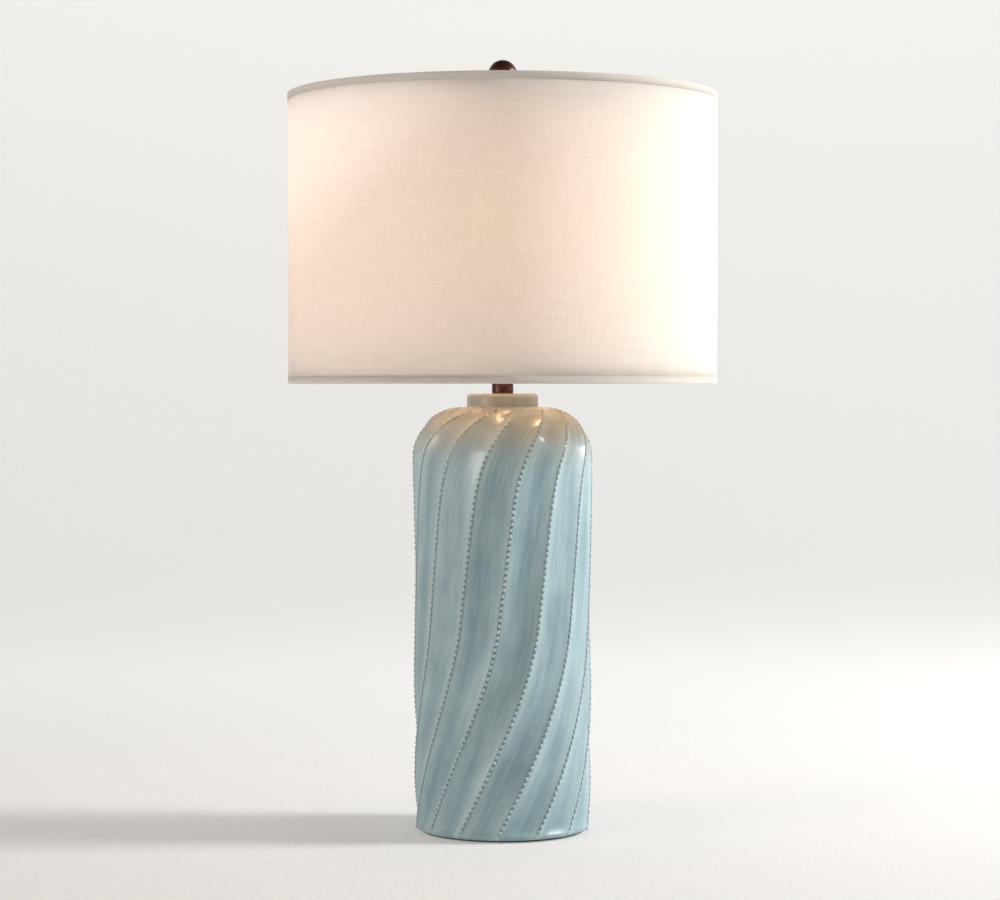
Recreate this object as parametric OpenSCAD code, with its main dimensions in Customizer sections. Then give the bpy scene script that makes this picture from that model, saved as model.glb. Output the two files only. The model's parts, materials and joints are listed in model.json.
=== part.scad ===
// Table lamp: swirl-fluted ceramic base, harp and finial, straight drum shade.
// Millimetres, +Z up, origin in the middle of the felt's underside. The front faces -Y.

/* [Ceramic body] */
// Radius over the ribs where the shoulder starts
crest_r = 85.0; // [82:0.5:110]
// Radius over the ribs just above the foot
foot_r = 83.2; // [80:0.4:108]
// Height above the table where the shoulder starts
shoulder_z = 356; // [290:1:430]
// Radius of the shoulder's round
shoulder_round = 46; // [38:1:52]
// Thickness of the ceramic behind the flutes
wall = 6; // [5:0.5:8]
// Round on the foot's outer edge
foot_edge = 5; // [3:0.5:8]
// Width of the ring that the foot stands on
foot_land = 10; // [7:0.5:14]
// Depth of the hollow under the floor
recess_h = 17; // [16:0.5:26]
// Thickness of the floor that the rod is bolted through
floor_t = 7; // [5:0.5:12]

/* [Swirling ribs] */
// Number of ribs, with a concave flute between each two
ribs = 14; // [10:1:18]
// Depth of a flute below the ribs
flute_depth = 4.2; // [2:0.2:5]
// Height above the table at which the ribs start to rise out of the foot
plain_band = 3; // [2:0.5:16]
// Turn of the ribs per millimetre at mid height, in degrees
mid_turn = 0.085; // [0:0.005:0.2]
// Further turn per millimetre low down on the wall, in degrees
foot_turn = 0.375; // [0:0.005:0.5]
// Further turn over the shoulder, in degrees per cubic centimetre of run
shoulder_turn = 0.0154; // [0:0.0002:0.02]

/* [Neck] */
// Radius of the ceramic neck
neck_r = 33.8; // [30:0.2:36]
// Height of the ceramic neck above the shoulder
neck_h = 13; // [10:0.5:20]
// Round on the neck's top edge
neck_edge = 4; // [1:0.5:5]
// Outer radius of the metal neck tube
tube_r = 10.2; // [9:0.1:14]
// Height of the metal neck tube
tube_h = 31; // [22:0.5:45]
// Wall of the metal neck tube
tube_wall = 1.2; // [0.8:0.1:2]

/* [Rod and fasteners] */
// Radius of the threaded lamp rod
rod_r = 5.1; // [4.8:0.1:6.2]
// Wall of the lamp rod
rod_wall = 1.7; // [1.2:0.1:2]
// Radius of the large washer under the floor
washer_r = 19; // [14:0.5:26]
// Thickness of a washer
washer_t = 1.6; // [1:0.1:2]
// Width of a hex nut across its flats
nut_flats = 17.5; // [16:0.1:20]
// Thickness of a hex nut
nut_t = 5; // [4:0.1:6]
// Thickness of the felt pad
felt_t = 2; // [1.5:0.1:4]
// Radius of the cord's way out through the bushing
cord_bore_r = 3.3; // [2.8:0.1:3.8]

/* [Harp] */
// Radius of the harp's wire
wire_r = 2.4; // [2:0.1:3]
// Distance of each harp leg from the lamp's axis
leg_x = 30; // [26:0.5:36]
// Distance of the harp's sides from the lamp's axis
bow_x = 58; // [52:0.5:70]
// Radius of the bends that spread the harp's legs
spread_r = 43; // [36:1:60]
// Length of the slanting stretch between those bends
slant_h = 8; // [4:0.5:14]
// Thickness of the saddle's sheet metal
saddle_t = 1.8; // [1.5:0.1:2.2]
// Length of each saddle ear inside its sleeve
ear_h = 14; // [10:0.5:18]
// Radius of the threaded stud on the harp
stud_r = 3.05; // [2.8:0.05:3.4]

/* [Socket and bulb] */
// Outer radius of the socket's shell
shell_r = 16.9; // [16.5:0.1:20.5]
// Height of the socket's shell
shell_h = 40; // [38:0.5:48]
// Radius of the bulb's screw cap
screw_r = 13.1; // [12.9:0.1:13.3]
// Height of the bulb's screw cap
screw_h = 23; // [20:0.5:25]
// Radius of the bulb's glass
bulb_r = 30; // [27:0.5:32]
// Height of the whole bulb
bulb_h = 108; // [100:1:112]
// Radius of the switch knob
knob_r = 5.5; // [4.5:0.1:6.2]

/* [Shade] */
// Outer radius of the drum
shade_r = 203.2; // [160:0.4:250]
// Height of the drum
shade_h = 273; // [220:1:330]
// Height of the drum's bottom edge above the neck's top edge
shade_lift = 9.4; // [4:0.2:20]
// How far the spider sits below the drum's top edge
spider_drop = 12; // [8:0.5:20]
// Radius of the ring and spider wire
frame_r = 1.6; // [1.2:0.1:2]
// Thickness of the linen
linen_t = 0.6; // [0.4:0.1:0.8]
// Thickness of the liner that the linen is bonded to
liner_t = 0.8; // [0.5:0.1:1]
// Height of the folded hem over each ring
hem_h = 7; // [5:0.5:12]

/* [Finial] */
// Radius of the ball
ball_r = 13.8; // [10:0.2:18]
// Height of the turned base under the ball
finial_base_h = 18; // [16:0.5:24]

/* [Hidden] */
$fn = 96;

// Clearances: a thread or a shaft, a piece that slides or turns, and a hole for a piece to pass
fit_gap = 0.08;
slide_gap = 0.35;
pass_gap = 0.5;
// What a cut goes beyond the face that it opens
over = 1;

// Heights along the lamp's axis, from the table up
floor_z = felt_t + recess_h;
cavity_z = floor_z + floor_t;
shoulder_top = shoulder_z + shoulder_round;
neck_top = shoulder_top + neck_h;
neck_washer_t = 1;
neck_washer_in = 0.4;
lock_washer_t = 2;
lock_washer_w = 3.4;
lock_split = 0.8;
lock_slant = 30;
rod_foot = 3;
tube_z = neck_top + neck_washer_t;
saddle_z = tube_z + tube_h;
saddle_top = saddle_z + saddle_t;
saddle_w = 10;
saddle_nut_t = 3.4;
saddle_nut_flats = 14.3;
cap_z = saddle_top + saddle_nut_t;

// Socket
metal_t = 0.8;
cap_hub_r = 7.4;
cap_hub_h = 8;
cap_cup_h = 14;
cap_skirt_h = 7;
cap_skirt_z = cap_z + cap_hub_h + cap_cup_h;
sleeve_gap = 0.2;
cap_skirt_r = shell_r + metal_t + sleeve_gap;
cap_bevel = 2;
cap_bevel_h = 2.5;
shell_z = cap_skirt_z;
lip_gap = 0.6;
sleeve_t = 0.7;
sleeve_r = shell_r - metal_t - sleeve_gap;
housing_gap = 0.4;
housing_r = sleeve_r - sleeve_t - housing_gap;
housing_z = shell_z;
housing_h = 15;
cap_cup_r = housing_r;
contact_h = 3;
contact_z = housing_z + housing_h;
contact_strip = 0.8;
contact_w = 6;
contact_len = 9;
contact_back = 5;
contact_post_t = 2;
contact_hole_r = 8;
screw_wall = 0.5;
screw_shell_r = screw_r + slide_gap + screw_wall;
screw_shell_drop = 2;
shaft_r = 1.6;
shaft_up = 2;
shaft_z = cap_skirt_z + cap_skirt_h + shaft_r + shaft_up;
shaft_in = 9;
shaft_room = 1.2;
knob_out = 5;
knob_y = shell_r + knob_out;
knob_len = 13;
knob_face_t = 3;
knob_collar_h = 3;
knob_collar_share = 0.62;
knob_grooves = 12;
knob_groove_r = 0.9;
knob_groove_out = 0.4;
terminal_in = 2.8;
terminal_flat = housing_r - terminal_in;
terminal_up = 7;
terminal_z = housing_z + terminal_up;
terminal_head_r = 3;
terminal_head_t = 1.5;
terminal_shank_r = 1.4;
terminal_shank_h = 6;
set_screw_r = 1.4;
set_screw_out = 1.2;
set_slot_w = 0.6;
terminal_slot_w = 0.8;
slot_d = 0.7;

// Bulb, standing on the centre contact
bulb_z = contact_z + contact_h;
bulb_contact_t = 1.4;
bulb_contact_r = 4.8;
insulator_h = 3.6;
glass_t = 1;
neck_gap = 0.3;
glass_neck_r = screw_r - screw_wall - neck_gap;
screw_cap_z = bulb_z + bulb_contact_t + insulator_h;
glass_z = screw_cap_z + screw_h;
glass_in = 5;
bulb_top = bulb_z + bulb_h;
bulb_mid = bulb_top - bulb_r;
flare_t = 1.5;
stem_h = 8;
stem_low_r = 9;
stem_high_r = 2.6;
lead_r = 0.5;
lead_h = 27;
lead_lean = 25;
coil_r = 0.8;

// Shade
shade_z = neck_top + shade_lift;
shade_top = shade_z + shade_h;
hem_t = 0.4;
hem_slack = 0.15;
linen_r = shade_r - hem_t;
liner_r = linen_r - linen_t;
ring_x = liner_r - liner_t - frame_r;
top_ring_z = shade_top - hem_t - hem_slack - frame_r;
hub_z = shade_top - spider_drop;
hub_t = 1.6;
hub_r = 10;
arm_count = 3;
arm_start = 30;
arm_r = frame_r - 0.2;
arm_start_in = 3;

// Harp
ear_foot_h = 4;
ear_w = 4;
ear_top = saddle_top + ear_foot_h + ear_h;
sleeve_len = ear_h - 1;
sleeve_z = saddle_top + ear_foot_h + slide_gap;
sleeve_bore = norm([saddle_t, ear_w / 2]) + slide_gap;
sleeve_wall = 0.9;
sleeve_travel = ear_h + 2;
leg_spare = 2;
leg_top = sleeve_z + sleeve_len + sleeve_travel + leg_spare;
spread_x = bow_x - leg_x;
spread_angle = acos((2 * spread_r - spread_x) / norm([2 * spread_r, slant_h])) - atan2(slant_h, 2 * spread_r);
spread_h = 2 * spread_r * sin(spread_angle) + slant_h * cos(spread_angle);
// A straight stretch is a hair thinner than the bends and runs a little way into them
bend_gap = 0.04;
bend_in = 1;
seat_t = 3;
seat_r = 8;
pad_r = 6.5;
pad_over = 0.3;
bow_top = hub_z - seat_t - wire_r - pad_over;
rivet_r = 2;
rivet_head_r = 3.4;
rivet_head_t = 1.2;
stud_short = 5;
stud_h = hub_t + finial_base_h - stud_short;

// Finial
finial_z = hub_z + hub_t;
spigot_r = 3.6;
spigot_h = 5;
cup_r = 7;
ball_z = finial_z + finial_base_h + sqrt(ball_r ^ 2 - cup_r ^ 2);
finial_foot_h = 2.4;
finial_cove_r = 5.4;
finial_cove_h = 1;
finial_stem_r = 4.7;
finial_sweep_h = 2.6;
finial_cup_h = 2;

// Cord outlet, through the back of the foot and into the hollow under the floor
cord_z = felt_t + recess_h / 2;
bushing_wall = 1.5;
bushing_r = cord_bore_r + bushing_wall;
flange_w = 2.2;
flange_r = bushing_r + flange_w;
flange_t = 2;
outlet_y = foot_r - flute_depth - pass_gap;
recess_r = foot_r - foot_edge - foot_land;

// ---- Outer surface of the ceramic body ----

rows_foot = 4;
rows_wall = 22;
rows_shoulder = 10;
around = 6;
columns = ribs * around;
last_row = rows_foot + rows_wall + rows_shoulder;
wall_foot = felt_t + foot_edge;
// Height over which the ribs rise out of the foot, and over which they sink into the neck
rib_start = 9;
rib_end = 3;

// Crest radius of the wall at a height
function wall_r(z) = foot_r + (crest_r - foot_r) * (z - wall_foot) / (shoulder_z - wall_foot);
// Outline of the crests: [radius, height, run along the outline, outward radius share, upward share]
function foot_row(a) = [
    foot_r - foot_edge * (1 - sin(a)), wall_foot - foot_edge * cos(a),
    wall_foot - foot_edge * cos(a), sin(a), -cos(a)
];
function wall_row(z) = [wall_r(z), z, z, 1, 0];
function shoulder_row(a) = [
    crest_r - shoulder_round * (1 - cos(a)), shoulder_z + shoulder_round * sin(a),
    shoulder_z + shoulder_round * a * PI / 180, cos(a), sin(a)
];
function row(i) =
    i < rows_foot ? foot_row(90 * i / rows_foot) :
    i < rows_foot + rows_wall ?
        wall_row(wall_foot + (shoulder_z - wall_foot) * (i - rows_foot) / rows_wall) :
    shoulder_row(90 * (i - rows_foot - rows_wall) / rows_shoulder);

// Where the ribs turn harder: below low_turn_z and past high_turn_s of the outline's run
low_turn_z = 0.56 * shoulder_z;
high_turn_s = 0.815 * shoulder_z;
plumb_z = 0.64 * shoulder_z;
function low_run(s) = max(0, low_turn_z - s);
function high_run(s) = max(0, s - high_turn_s) / 10;
// Angle of the first rib at a run along the outline, from the front towards +X
function rib_angle(s) =
    mid_turn * (s - plumb_z)
    - foot_turn * low_run(s) ^ 2 / (low_run(s) + low_turn_z)
    + shoulder_turn * high_run(s) ^ 3;
function smooth(t) = let (u = min(1, max(0, t))) u * u * (3 - 2 * u);
function flute_at(i) =
    let (p = row(i))
    flute_depth * smooth((p[2] - plain_band) / rib_start) * min(1, p[0] / crest_r)
    * (1 - smooth((p[1] - shoulder_top + rib_end) / rib_end));
function skin_point(i, j) =
    let (
        p = row(i),
        t = (j % around) / around,
        d = flute_at(i) * 4 * t * (1 - t),
        a = rib_angle(p[2]) + 360 * j / columns,
        r = p[0] - d * p[3]
    )
    [r * sin(a), -r * cos(a), p[1] - d * p[4]];

module fluted_solid() {
    points = [for (i = [0:last_row], j = [0:columns - 1]) skin_point(i, j)];
    faces = [
        [for (j = [0:columns - 1]) j],
        for (i = [0:last_row - 1], j = [0:columns - 1])
            let (a = i * columns + j, b = i * columns + (j + 1) % columns)
            each [[a, a + columns, b], [b, a + columns, b + columns]],
        [for (j = [columns - 1:-1:0]) last_row * columns + j]
    ];
    polyhedron(points, faces, convexity = 8);
}

// Outline of the hollow inside the body, from the floor into the neck
module cavity_outline() {
    inset = flute_depth + wall;
    top_round = shoulder_round - inset;
    low_r = foot_r - inset;
    high_r = crest_r - inset;
    polygon([
        [0, cavity_z], [low_r, cavity_z], [high_r, shoulder_z], [high_r - top_round, shoulder_z],
        [high_r - top_round, shoulder_z + top_round], [0, shoulder_z + top_round]
    ]);
    intersection() {
        translate([high_r - top_round, shoulder_z]) circle(r = top_round);
        translate([high_r - top_round, shoulder_z - over]) square(top_round + over);
    }
    translate([0, shoulder_z]) square([neck_r - wall, neck_top - wall - shoulder_z]);
}

module neck_outline() {
    low = shoulder_top - wall;
    translate([0, low]) square([neck_r, neck_top - neck_edge - low]);
    translate([0, low]) square([neck_r - neck_edge, neck_top - low]);
    translate([neck_r - neck_edge, neck_top - neck_edge]) circle(r = neck_edge);
}

// Hex bar round the axis with a through bore
module hex_ring(flats, height, bore) {
    difference() {
        cylinder(r = flats / sqrt(3), h = height, $fn = 6);
        translate([0, 0, -over]) cylinder(r = bore, h = height + 2 * over);
    }
}

// Cut for a screwdriver across a head of a given radius, whose face is z = 0
module slot(width, head) {
    translate([-width / 2, -head - over, -slot_d]) cube([width, 2 * (head + over), slot_d + over]);
}

module ring(outer, inner, height) {
    difference() {
        cylinder(r = outer, h = height);
        translate([0, 0, -over]) cylinder(r = inner, h = height + 2 * over);
    }
}

module wire_ring(radius, wire) {
    rotate_extrude() translate([radius, 0]) circle(r = wire);
}

// ---- Base ----

module ceramic_body() {
    color("#93b0b3") difference() {
        union() {
            fluted_solid();
            rotate_extrude() neck_outline();
        }
        rotate_extrude() cavity_outline();
        translate([0, 0, felt_t - over]) cylinder(r = recess_r, h = recess_h + over);
        cylinder(r = rod_r + pass_gap, h = neck_top + over);
        translate([0, 0, cord_z]) rotate([-90, 0, 0]) cylinder(r = bushing_r + fit_gap, h = foot_r + over);
        translate([0, outlet_y, cord_z]) rotate([-90, 0, 0])
            cylinder(r = flange_r + pass_gap, h = 3 * foot_edge);
    }
}

module felt_pad() {
    color("#3c4a44") cylinder(r = foot_r - foot_edge, h = felt_t);
}

module cord_bushing() {
    length = outlet_y - recess_r;
    color("#2b2624") translate([0, recess_r, cord_z]) rotate([-90, 0, 0]) difference() {
        union() {
            cylinder(r = bushing_r, h = length + flange_t);
            translate([0, 0, length]) cylinder(r = flange_r, h = flange_t);
        }
        translate([0, 0, -over]) cylinder(r = cord_bore_r, h = length + flange_t + 2 * over);
    }
}

module lamp_rod() {
    low = felt_t + rod_foot;
    color("#b9b6ae") translate([0, 0, low])
        ring(rod_r, rod_r - rod_wall, cap_z + cap_hub_h - over - low);
}

module lower_washer() {
    color("#a9a9a6") translate([0, 0, floor_z - washer_t])
        ring(washer_r, rod_r + fit_gap, washer_t);
}

module lower_lock_washer() {
    color("#8d8d8a") translate([0, 0, floor_z - washer_t - lock_washer_t]) difference() {
        ring(rod_r + lock_washer_w, rod_r + fit_gap, lock_washer_t);
        translate([rod_r, 0, lock_washer_t / 2]) rotate([lock_slant, 0, 0])
            translate([0, -lock_split / 2, -2 * lock_washer_t])
            cube([2 * lock_washer_w, lock_split, 4 * lock_washer_t]);
    }
}

module lower_nut() {
    color("#a9a9a6") translate([0, 0, floor_z - washer_t - lock_washer_t - nut_t])
        hex_ring(nut_flats, nut_t, rod_r + fit_gap);
}

module neck_washer() {
    color("#4a3a30") translate([0, 0, neck_top])
        ring(tube_r - neck_washer_in, rod_r + fit_gap, neck_washer_t);
}

module neck_tube() {
    color("#4b332a") translate([0, 0, tube_z]) difference() {
        cylinder(r = tube_r, h = tube_h);
        translate([0, 0, -over]) cylinder(r = tube_r - tube_wall, h = tube_h - tube_wall + over);
        cylinder(r = rod_r + fit_gap, h = tube_h + over);
    }
}

// ---- Harp saddle and socket ----

module saddle_ear() {
    translate([leg_x - saddle_t, -saddle_w / 2, saddle_z]) cube([saddle_t, saddle_w, saddle_t + ear_foot_h]);
    translate([leg_x - saddle_t, -ear_w / 2, saddle_top]) cube([saddle_t, ear_w, ear_top - saddle_top]);
}

module harp_saddle() {
    color("#8c7a52") difference() {
        union() {
            translate([-leg_x, -saddle_w / 2, saddle_z]) cube([2 * leg_x, saddle_w, saddle_t]);
            translate([0, 0, saddle_z]) cylinder(r = tube_r, h = saddle_t);
            saddle_ear();
            mirror([1, 0, 0]) saddle_ear();
        }
        translate([0, 0, saddle_z - over]) cylinder(r = rod_r + fit_gap, h = saddle_t + 2 * over);
    }
}

module saddle_nut() {
    color("#a9a9a6") translate([0, 0, saddle_top]) hex_ring(saddle_nut_flats, saddle_nut_t, rod_r + fit_gap);
}

// Stepped cup: the switch, the sleeve and the shell stand on the step inside it
module socket_cap_outline() {
    bore = rod_r + fit_gap;
    inner = cap_skirt_r - metal_t;
    floor_in = cap_hub_h + metal_t;
    step = cap_hub_h + cap_cup_h;
    polygon([
        [bore, 0], [cap_hub_r, 0], [cap_hub_r, cap_hub_h], [cap_cup_r - cap_bevel, cap_hub_h],
        [cap_cup_r, cap_hub_h + cap_bevel_h], [cap_cup_r, step - metal_t], [cap_skirt_r, step - metal_t],
        [cap_skirt_r, step + cap_skirt_h], [inner, step + cap_skirt_h], [inner, step],
        [cap_cup_r - metal_t, step], [cap_cup_r - metal_t, floor_in + cap_bevel_h],
        [cap_cup_r - metal_t - cap_bevel, floor_in], [bore, floor_in]
    ]);
}

module socket_cap() {
    color("#b08d4a") translate([0, 0, cap_z]) difference() {
        rotate_extrude() socket_cap_outline();
        translate([0, 0, cap_hub_h / 2]) rotate([0, 90, 0])
            cylinder(r = set_screw_r + fit_gap, h = 2 * cap_hub_r);
    }
}

module cap_set_screw() {
    start = rod_r + fit_gap;
    color("#8d8d8a") translate([start, 0, cap_z + cap_hub_h / 2]) rotate([0, 90, 0]) difference() {
        cylinder(r = set_screw_r, h = cap_hub_r - start + set_screw_out);
        translate([0, 0, cap_hub_r - start + set_screw_out]) slot(set_slot_w, set_screw_r);
    }
}

// Hole for the switch shaft through a wall of the socket
module shaft_hole(radius) {
    translate([0, 0, shaft_z]) rotate([90, 0, 0]) cylinder(r = radius, h = 2 * shell_r);
}

module socket_shell() {
    lip_r = screw_shell_r + lip_gap;
    color("#b08d4a") difference() {
        translate([0, 0, shell_z]) difference() {
            cylinder(r = shell_r, h = shell_h);
            translate([0, 0, -over]) cylinder(r = shell_r - metal_t, h = shell_h - metal_t + over);
            cylinder(r = lip_r, h = shell_h + over);
        }
        shaft_hole(shaft_r + shaft_room);
    }
}

module insulating_sleeve() {
    color("#7b6a55") difference() {
        translate([0, 0, housing_z]) ring(sleeve_r, sleeve_r - sleeve_t, shell_z + shell_h - metal_t - housing_z);
        shaft_hole(shaft_r + shaft_room);
    }
}

module switch_housing() {
    color("#2a2523") difference() {
        translate([0, 0, housing_z]) cylinder(r = housing_r, h = housing_h);
        for (side = [-1, 1]) {
            translate([side * (terminal_flat + housing_r), 0, housing_z + housing_h / 2])
                cube([2 * housing_r, 3 * housing_r, housing_h + over], center = true);
            translate([0, 0, terminal_z]) rotate([0, side * 90, 0])
                translate([0, 0, terminal_flat - terminal_shank_h])
                cylinder(r = terminal_shank_r + fit_gap, h = terminal_shank_h + over);
        }
        translate([0, -housing_r + shaft_in, shaft_z]) rotate([90, 0, 0])
            cylinder(r = shaft_r + fit_gap, h = shaft_in + over);
    }
}

module terminal_screws() {
    color("#b08d4a") for (side = [-1, 1]) {
        translate([0, 0, terminal_z]) rotate([0, side * 90, 0]) translate([0, 0, terminal_flat])
            difference() {
                union() {
                    translate([0, 0, -terminal_shank_h]) cylinder(r = terminal_shank_r, h = terminal_shank_h);
                    cylinder(r = terminal_head_r, h = terminal_head_t);
                }
                translate([0, 0, terminal_head_t]) slot(terminal_slot_w, terminal_head_r);
            }
    }
}

module screw_shell() {
    color("#b9a26a") translate([0, 0, contact_z]) difference() {
        union() {
            ring(screw_shell_r, screw_r + slide_gap, shell_z + shell_h - screw_shell_drop - contact_z);
            cylinder(r = screw_shell_r, h = screw_wall);
        }
        translate([0, 0, -over]) cylinder(r = contact_hole_r, h = screw_wall + 2 * over);
    }
}

module centre_contact() {
    color("#c9a85a") {
        translate([-contact_w / 2, -contact_back, contact_z]) cube([contact_w, contact_post_t, contact_h]);
        translate([-contact_w / 2, -contact_back, contact_z + contact_h - contact_strip])
            cube([contact_w, contact_len, contact_strip]);
    }
}

module switch_shaft() {
    color("#b9a26a") translate([0, -housing_r + shaft_in - fit_gap, shaft_z]) rotate([90, 0, 0])
        cylinder(r = shaft_r, h = knob_y + knob_len - knob_face_t - housing_r + shaft_in);
}

module switch_knob() {
    color("#1f1b19") translate([0, -knob_y, shaft_z]) rotate([90, 0, 0]) difference() {
        union() {
            cylinder(r = knob_r * knob_collar_share, h = knob_collar_h + over);
            translate([0, 0, knob_collar_h]) cylinder(r = knob_r, h = knob_len - knob_collar_h);
        }
        for (k = [0:knob_grooves - 1]) rotate(k * 360 / knob_grooves)
            translate([knob_r + knob_groove_out, 0, knob_collar_h - over])
            cylinder(r = knob_groove_r, h = knob_len);
        translate([0, 0, -over])
            cylinder(r = shaft_r + fit_gap, h = knob_len - knob_face_t + over + fit_gap);
    }
}

// ---- Bulb ----

// Pear shape: a ball, the cone that touches it and the straight neck inside the screw cap
module pear(ball, neck) {
    drop = bulb_mid - glass_z;
    reach = norm([neck, drop]);
    a = atan2(neck, drop) + acos(ball / reach);
    translate([0, 0, bulb_mid]) sphere(r = ball);
    translate([0, 0, glass_z])
        cylinder(r1 = neck, r2 = ball * sin(a), h = drop - ball * cos(a));
    translate([0, 0, glass_z - glass_in]) cylinder(r = neck, h = glass_in);
}

module bulb_glass() {
    color("#fff3df") difference() {
        pear(bulb_r, glass_neck_r);
        pear(bulb_r - glass_t, glass_neck_r - glass_t);
    }
}

// Glass stem fused to the neck, two lead wires and the curved filament between them
module bulb_filament() {
    flare_z = glass_z - glass_in - flare_t;
    lead_z = glass_z + stem_h;
    color("#e8e4da") {
        translate([0, 0, flare_z]) cylinder(r = glass_neck_r, h = flare_t);
        translate([0, 0, flare_z + flare_t]) cylinder(r1 = stem_low_r, r2 = stem_high_r, h = lead_z - flare_z);
        for (side = [-1, 1]) translate([0, 0, lead_z]) rotate([0, side * lead_lean, 0])
            cylinder(r = lead_r, h = lead_h);
        translate([0, 0, lead_z]) rotate([90, 0, 0]) rotate([0, 0, 90 - lead_lean])
            rotate_extrude(angle = 2 * lead_lean) translate([lead_h, 0]) circle(r = coil_r);
    }
}

module bulb_screw_cap() {
    color("#c4c2bc") translate([0, 0, screw_cap_z]) ring(screw_r, screw_r - screw_wall, screw_h);
}

module bulb_insulator() {
    color("#1c1a1a") translate([0, 0, bulb_z + bulb_contact_t])
        cylinder(r1 = bulb_contact_r, r2 = screw_r - screw_wall, h = insulator_h);
}

module bulb_contact() {
    color("#a9a9a6") translate([0, 0, bulb_z]) cylinder(r = bulb_contact_r, h = bulb_contact_t);
}

// ---- Harp ----

// Bent wire in the XZ plane round the origin, from one angle to another, counted from +X towards +Z
module wire_arc(radius, from, to) {
    rotate([90, 0, 0]) rotate([0, 0, from]) rotate_extrude(angle = to - from)
        translate([radius, 0]) circle(r = wire_r);
}

// Straight wire up from the origin, between two bends
module wire_run(length) {
    translate([0, 0, -bend_in]) cylinder(r = wire_r - bend_gap, h = length + 2 * bend_in);
}

// One leg: half round where it stands against the saddle's ear, then spread out to the bow
module harp_leg() {
    split = ear_top + slide_gap;
    side_z = leg_top + spread_h;
    difference() {
        translate([leg_x, 0, sleeve_z]) cylinder(r = wire_r - bend_gap, h = leg_top + bend_in - sleeve_z);
        translate([leg_x - 2 * wire_r + slide_gap, -wire_r - over, sleeve_z - over])
            cube([2 * wire_r, 2 * (wire_r + over), split - sleeve_z + over]);
    }
    translate([leg_x + spread_r, 0, leg_top]) wire_arc(spread_r, 180 - spread_angle, 180);
    translate([leg_x + spread_r * (1 - cos(spread_angle)), 0, leg_top + spread_r * sin(spread_angle)])
        rotate([0, spread_angle, 0]) wire_run(slant_h);
    translate([bow_x - spread_r, 0, side_z]) wire_arc(spread_r, -spread_angle, 0);
    translate([bow_x, 0, side_z]) wire_run(bow_top - bow_x - side_z);
}

module harp_bow() {
    pad_h = 2 * (wire_r + pad_over);
    color("#8c7a52") difference() {
        union() {
            harp_leg();
            mirror([1, 0, 0]) harp_leg();
            translate([0, 0, bow_top - bow_x]) wire_arc(bow_x, 0, 180);
            translate([0, 0, bow_top - pad_h / 2]) cylinder(r = pad_r, h = pad_h);
        }
        translate([0, 0, bow_top - pad_h]) cylinder(r = rivet_r + fit_gap, h = 2 * pad_h);
    }
}

module harp_stud() {
    low = bow_top - wire_r - pad_over;
    color("#8c7a52") {
        translate([0, 0, low - rivet_head_t]) cylinder(r = rivet_head_r, h = rivet_head_t);
        translate([0, 0, low]) cylinder(r = rivet_r, h = hub_z - seat_t - low);
        translate([0, 0, hub_z - seat_t]) cylinder(r = seat_r, h = seat_t);
        translate([0, 0, hub_z]) cylinder(r = stud_r, h = stud_h);
    }
}

module harp_sleeve(side) {
    color("#8c7a52") translate([side * leg_x, 0, sleeve_z])
        ring(sleeve_bore + sleeve_wall, sleeve_bore, sleeve_len);
}

module harp_sleeve_left() {
    harp_sleeve(-1);
}

module harp_sleeve_right() {
    harp_sleeve(1);
}

// ---- Shade ----

module shade_linen() {
    color("#f0e4d4") translate([0, 0, shade_z + hem_t]) ring(linen_r, liner_r, shade_h - 2 * hem_t);
}

module shade_liner() {
    color("#faf6ee") translate([0, 0, shade_z + hem_t]) ring(liner_r, liner_r - liner_t, shade_h - 2 * hem_t);
}

// A strip folded over the ring and both faces of the drum's edge, standing on z = 0
module hem() {
    inner = ring_x - frame_r - hem_slack - hem_t;
    rotate_extrude() {
        translate([inner, 0]) square([shade_r - inner, hem_t]);
        translate([inner, 0]) square([hem_t, hem_h]);
        translate([shade_r - hem_t, 0]) square([hem_t, hem_h]);
    }
}

module top_hem() {
    color("#e2d8ca") translate([0, 0, shade_top]) mirror([0, 0, 1]) hem_with_notches();
}

module bottom_hem() {
    color("#e2d8ca") translate([0, 0, shade_z]) hem();
}

// The top hem lets the spider's arms through its inner leg
module hem_with_notches() {
    difference() {
        hem();
        for (k = [0:arm_count - 1]) rotate(arm_start + k * 360 / arm_count)
            translate([ring_x - 3 * frame_r, -frame_r - slide_gap, hem_t])
                cube([2 * frame_r, 2 * (frame_r + slide_gap), hem_h]);
    }
}

module top_ring() {
    color("#b9b6ae") translate([0, 0, top_ring_z]) wire_ring(ring_x, frame_r);
}

module bottom_ring() {
    color("#b9b6ae") translate([0, 0, shade_z + hem_t + hem_slack + frame_r]) wire_ring(ring_x, frame_r);
}

// One arm, from the hub's rim up to the ring, its ends cut to fit both
module spider_arm() {
    mid = hub_z + hub_t / 2;
    rise = top_ring_z - mid;
    run = ring_x - hub_r;
    difference() {
        translate([hub_r, 0, mid]) rotate([0, atan2(run, rise), 0]) translate([0, 0, -arm_start_in])
            cylinder(r = arm_r, h = norm([run, rise]) + arm_start_in);
        translate([ring_x, 0, top_ring_z]) rotate([90, 0, 0])
            cylinder(r = frame_r, h = 6 * frame_r, center = true);
        translate([0, 0, hub_z - 2 * arm_r]) cylinder(r = hub_r, h = 6 * arm_r);
    }
}

module spider_arms() {
    color("#b9b6ae") for (k = [0:arm_count - 1]) rotate(arm_start + k * 360 / arm_count) spider_arm();
}

module spider_hub() {
    color("#b9b6ae") translate([0, 0, hub_z]) ring(hub_r, stud_r + slide_gap, hub_t);
}

// ---- Finial ----

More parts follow.
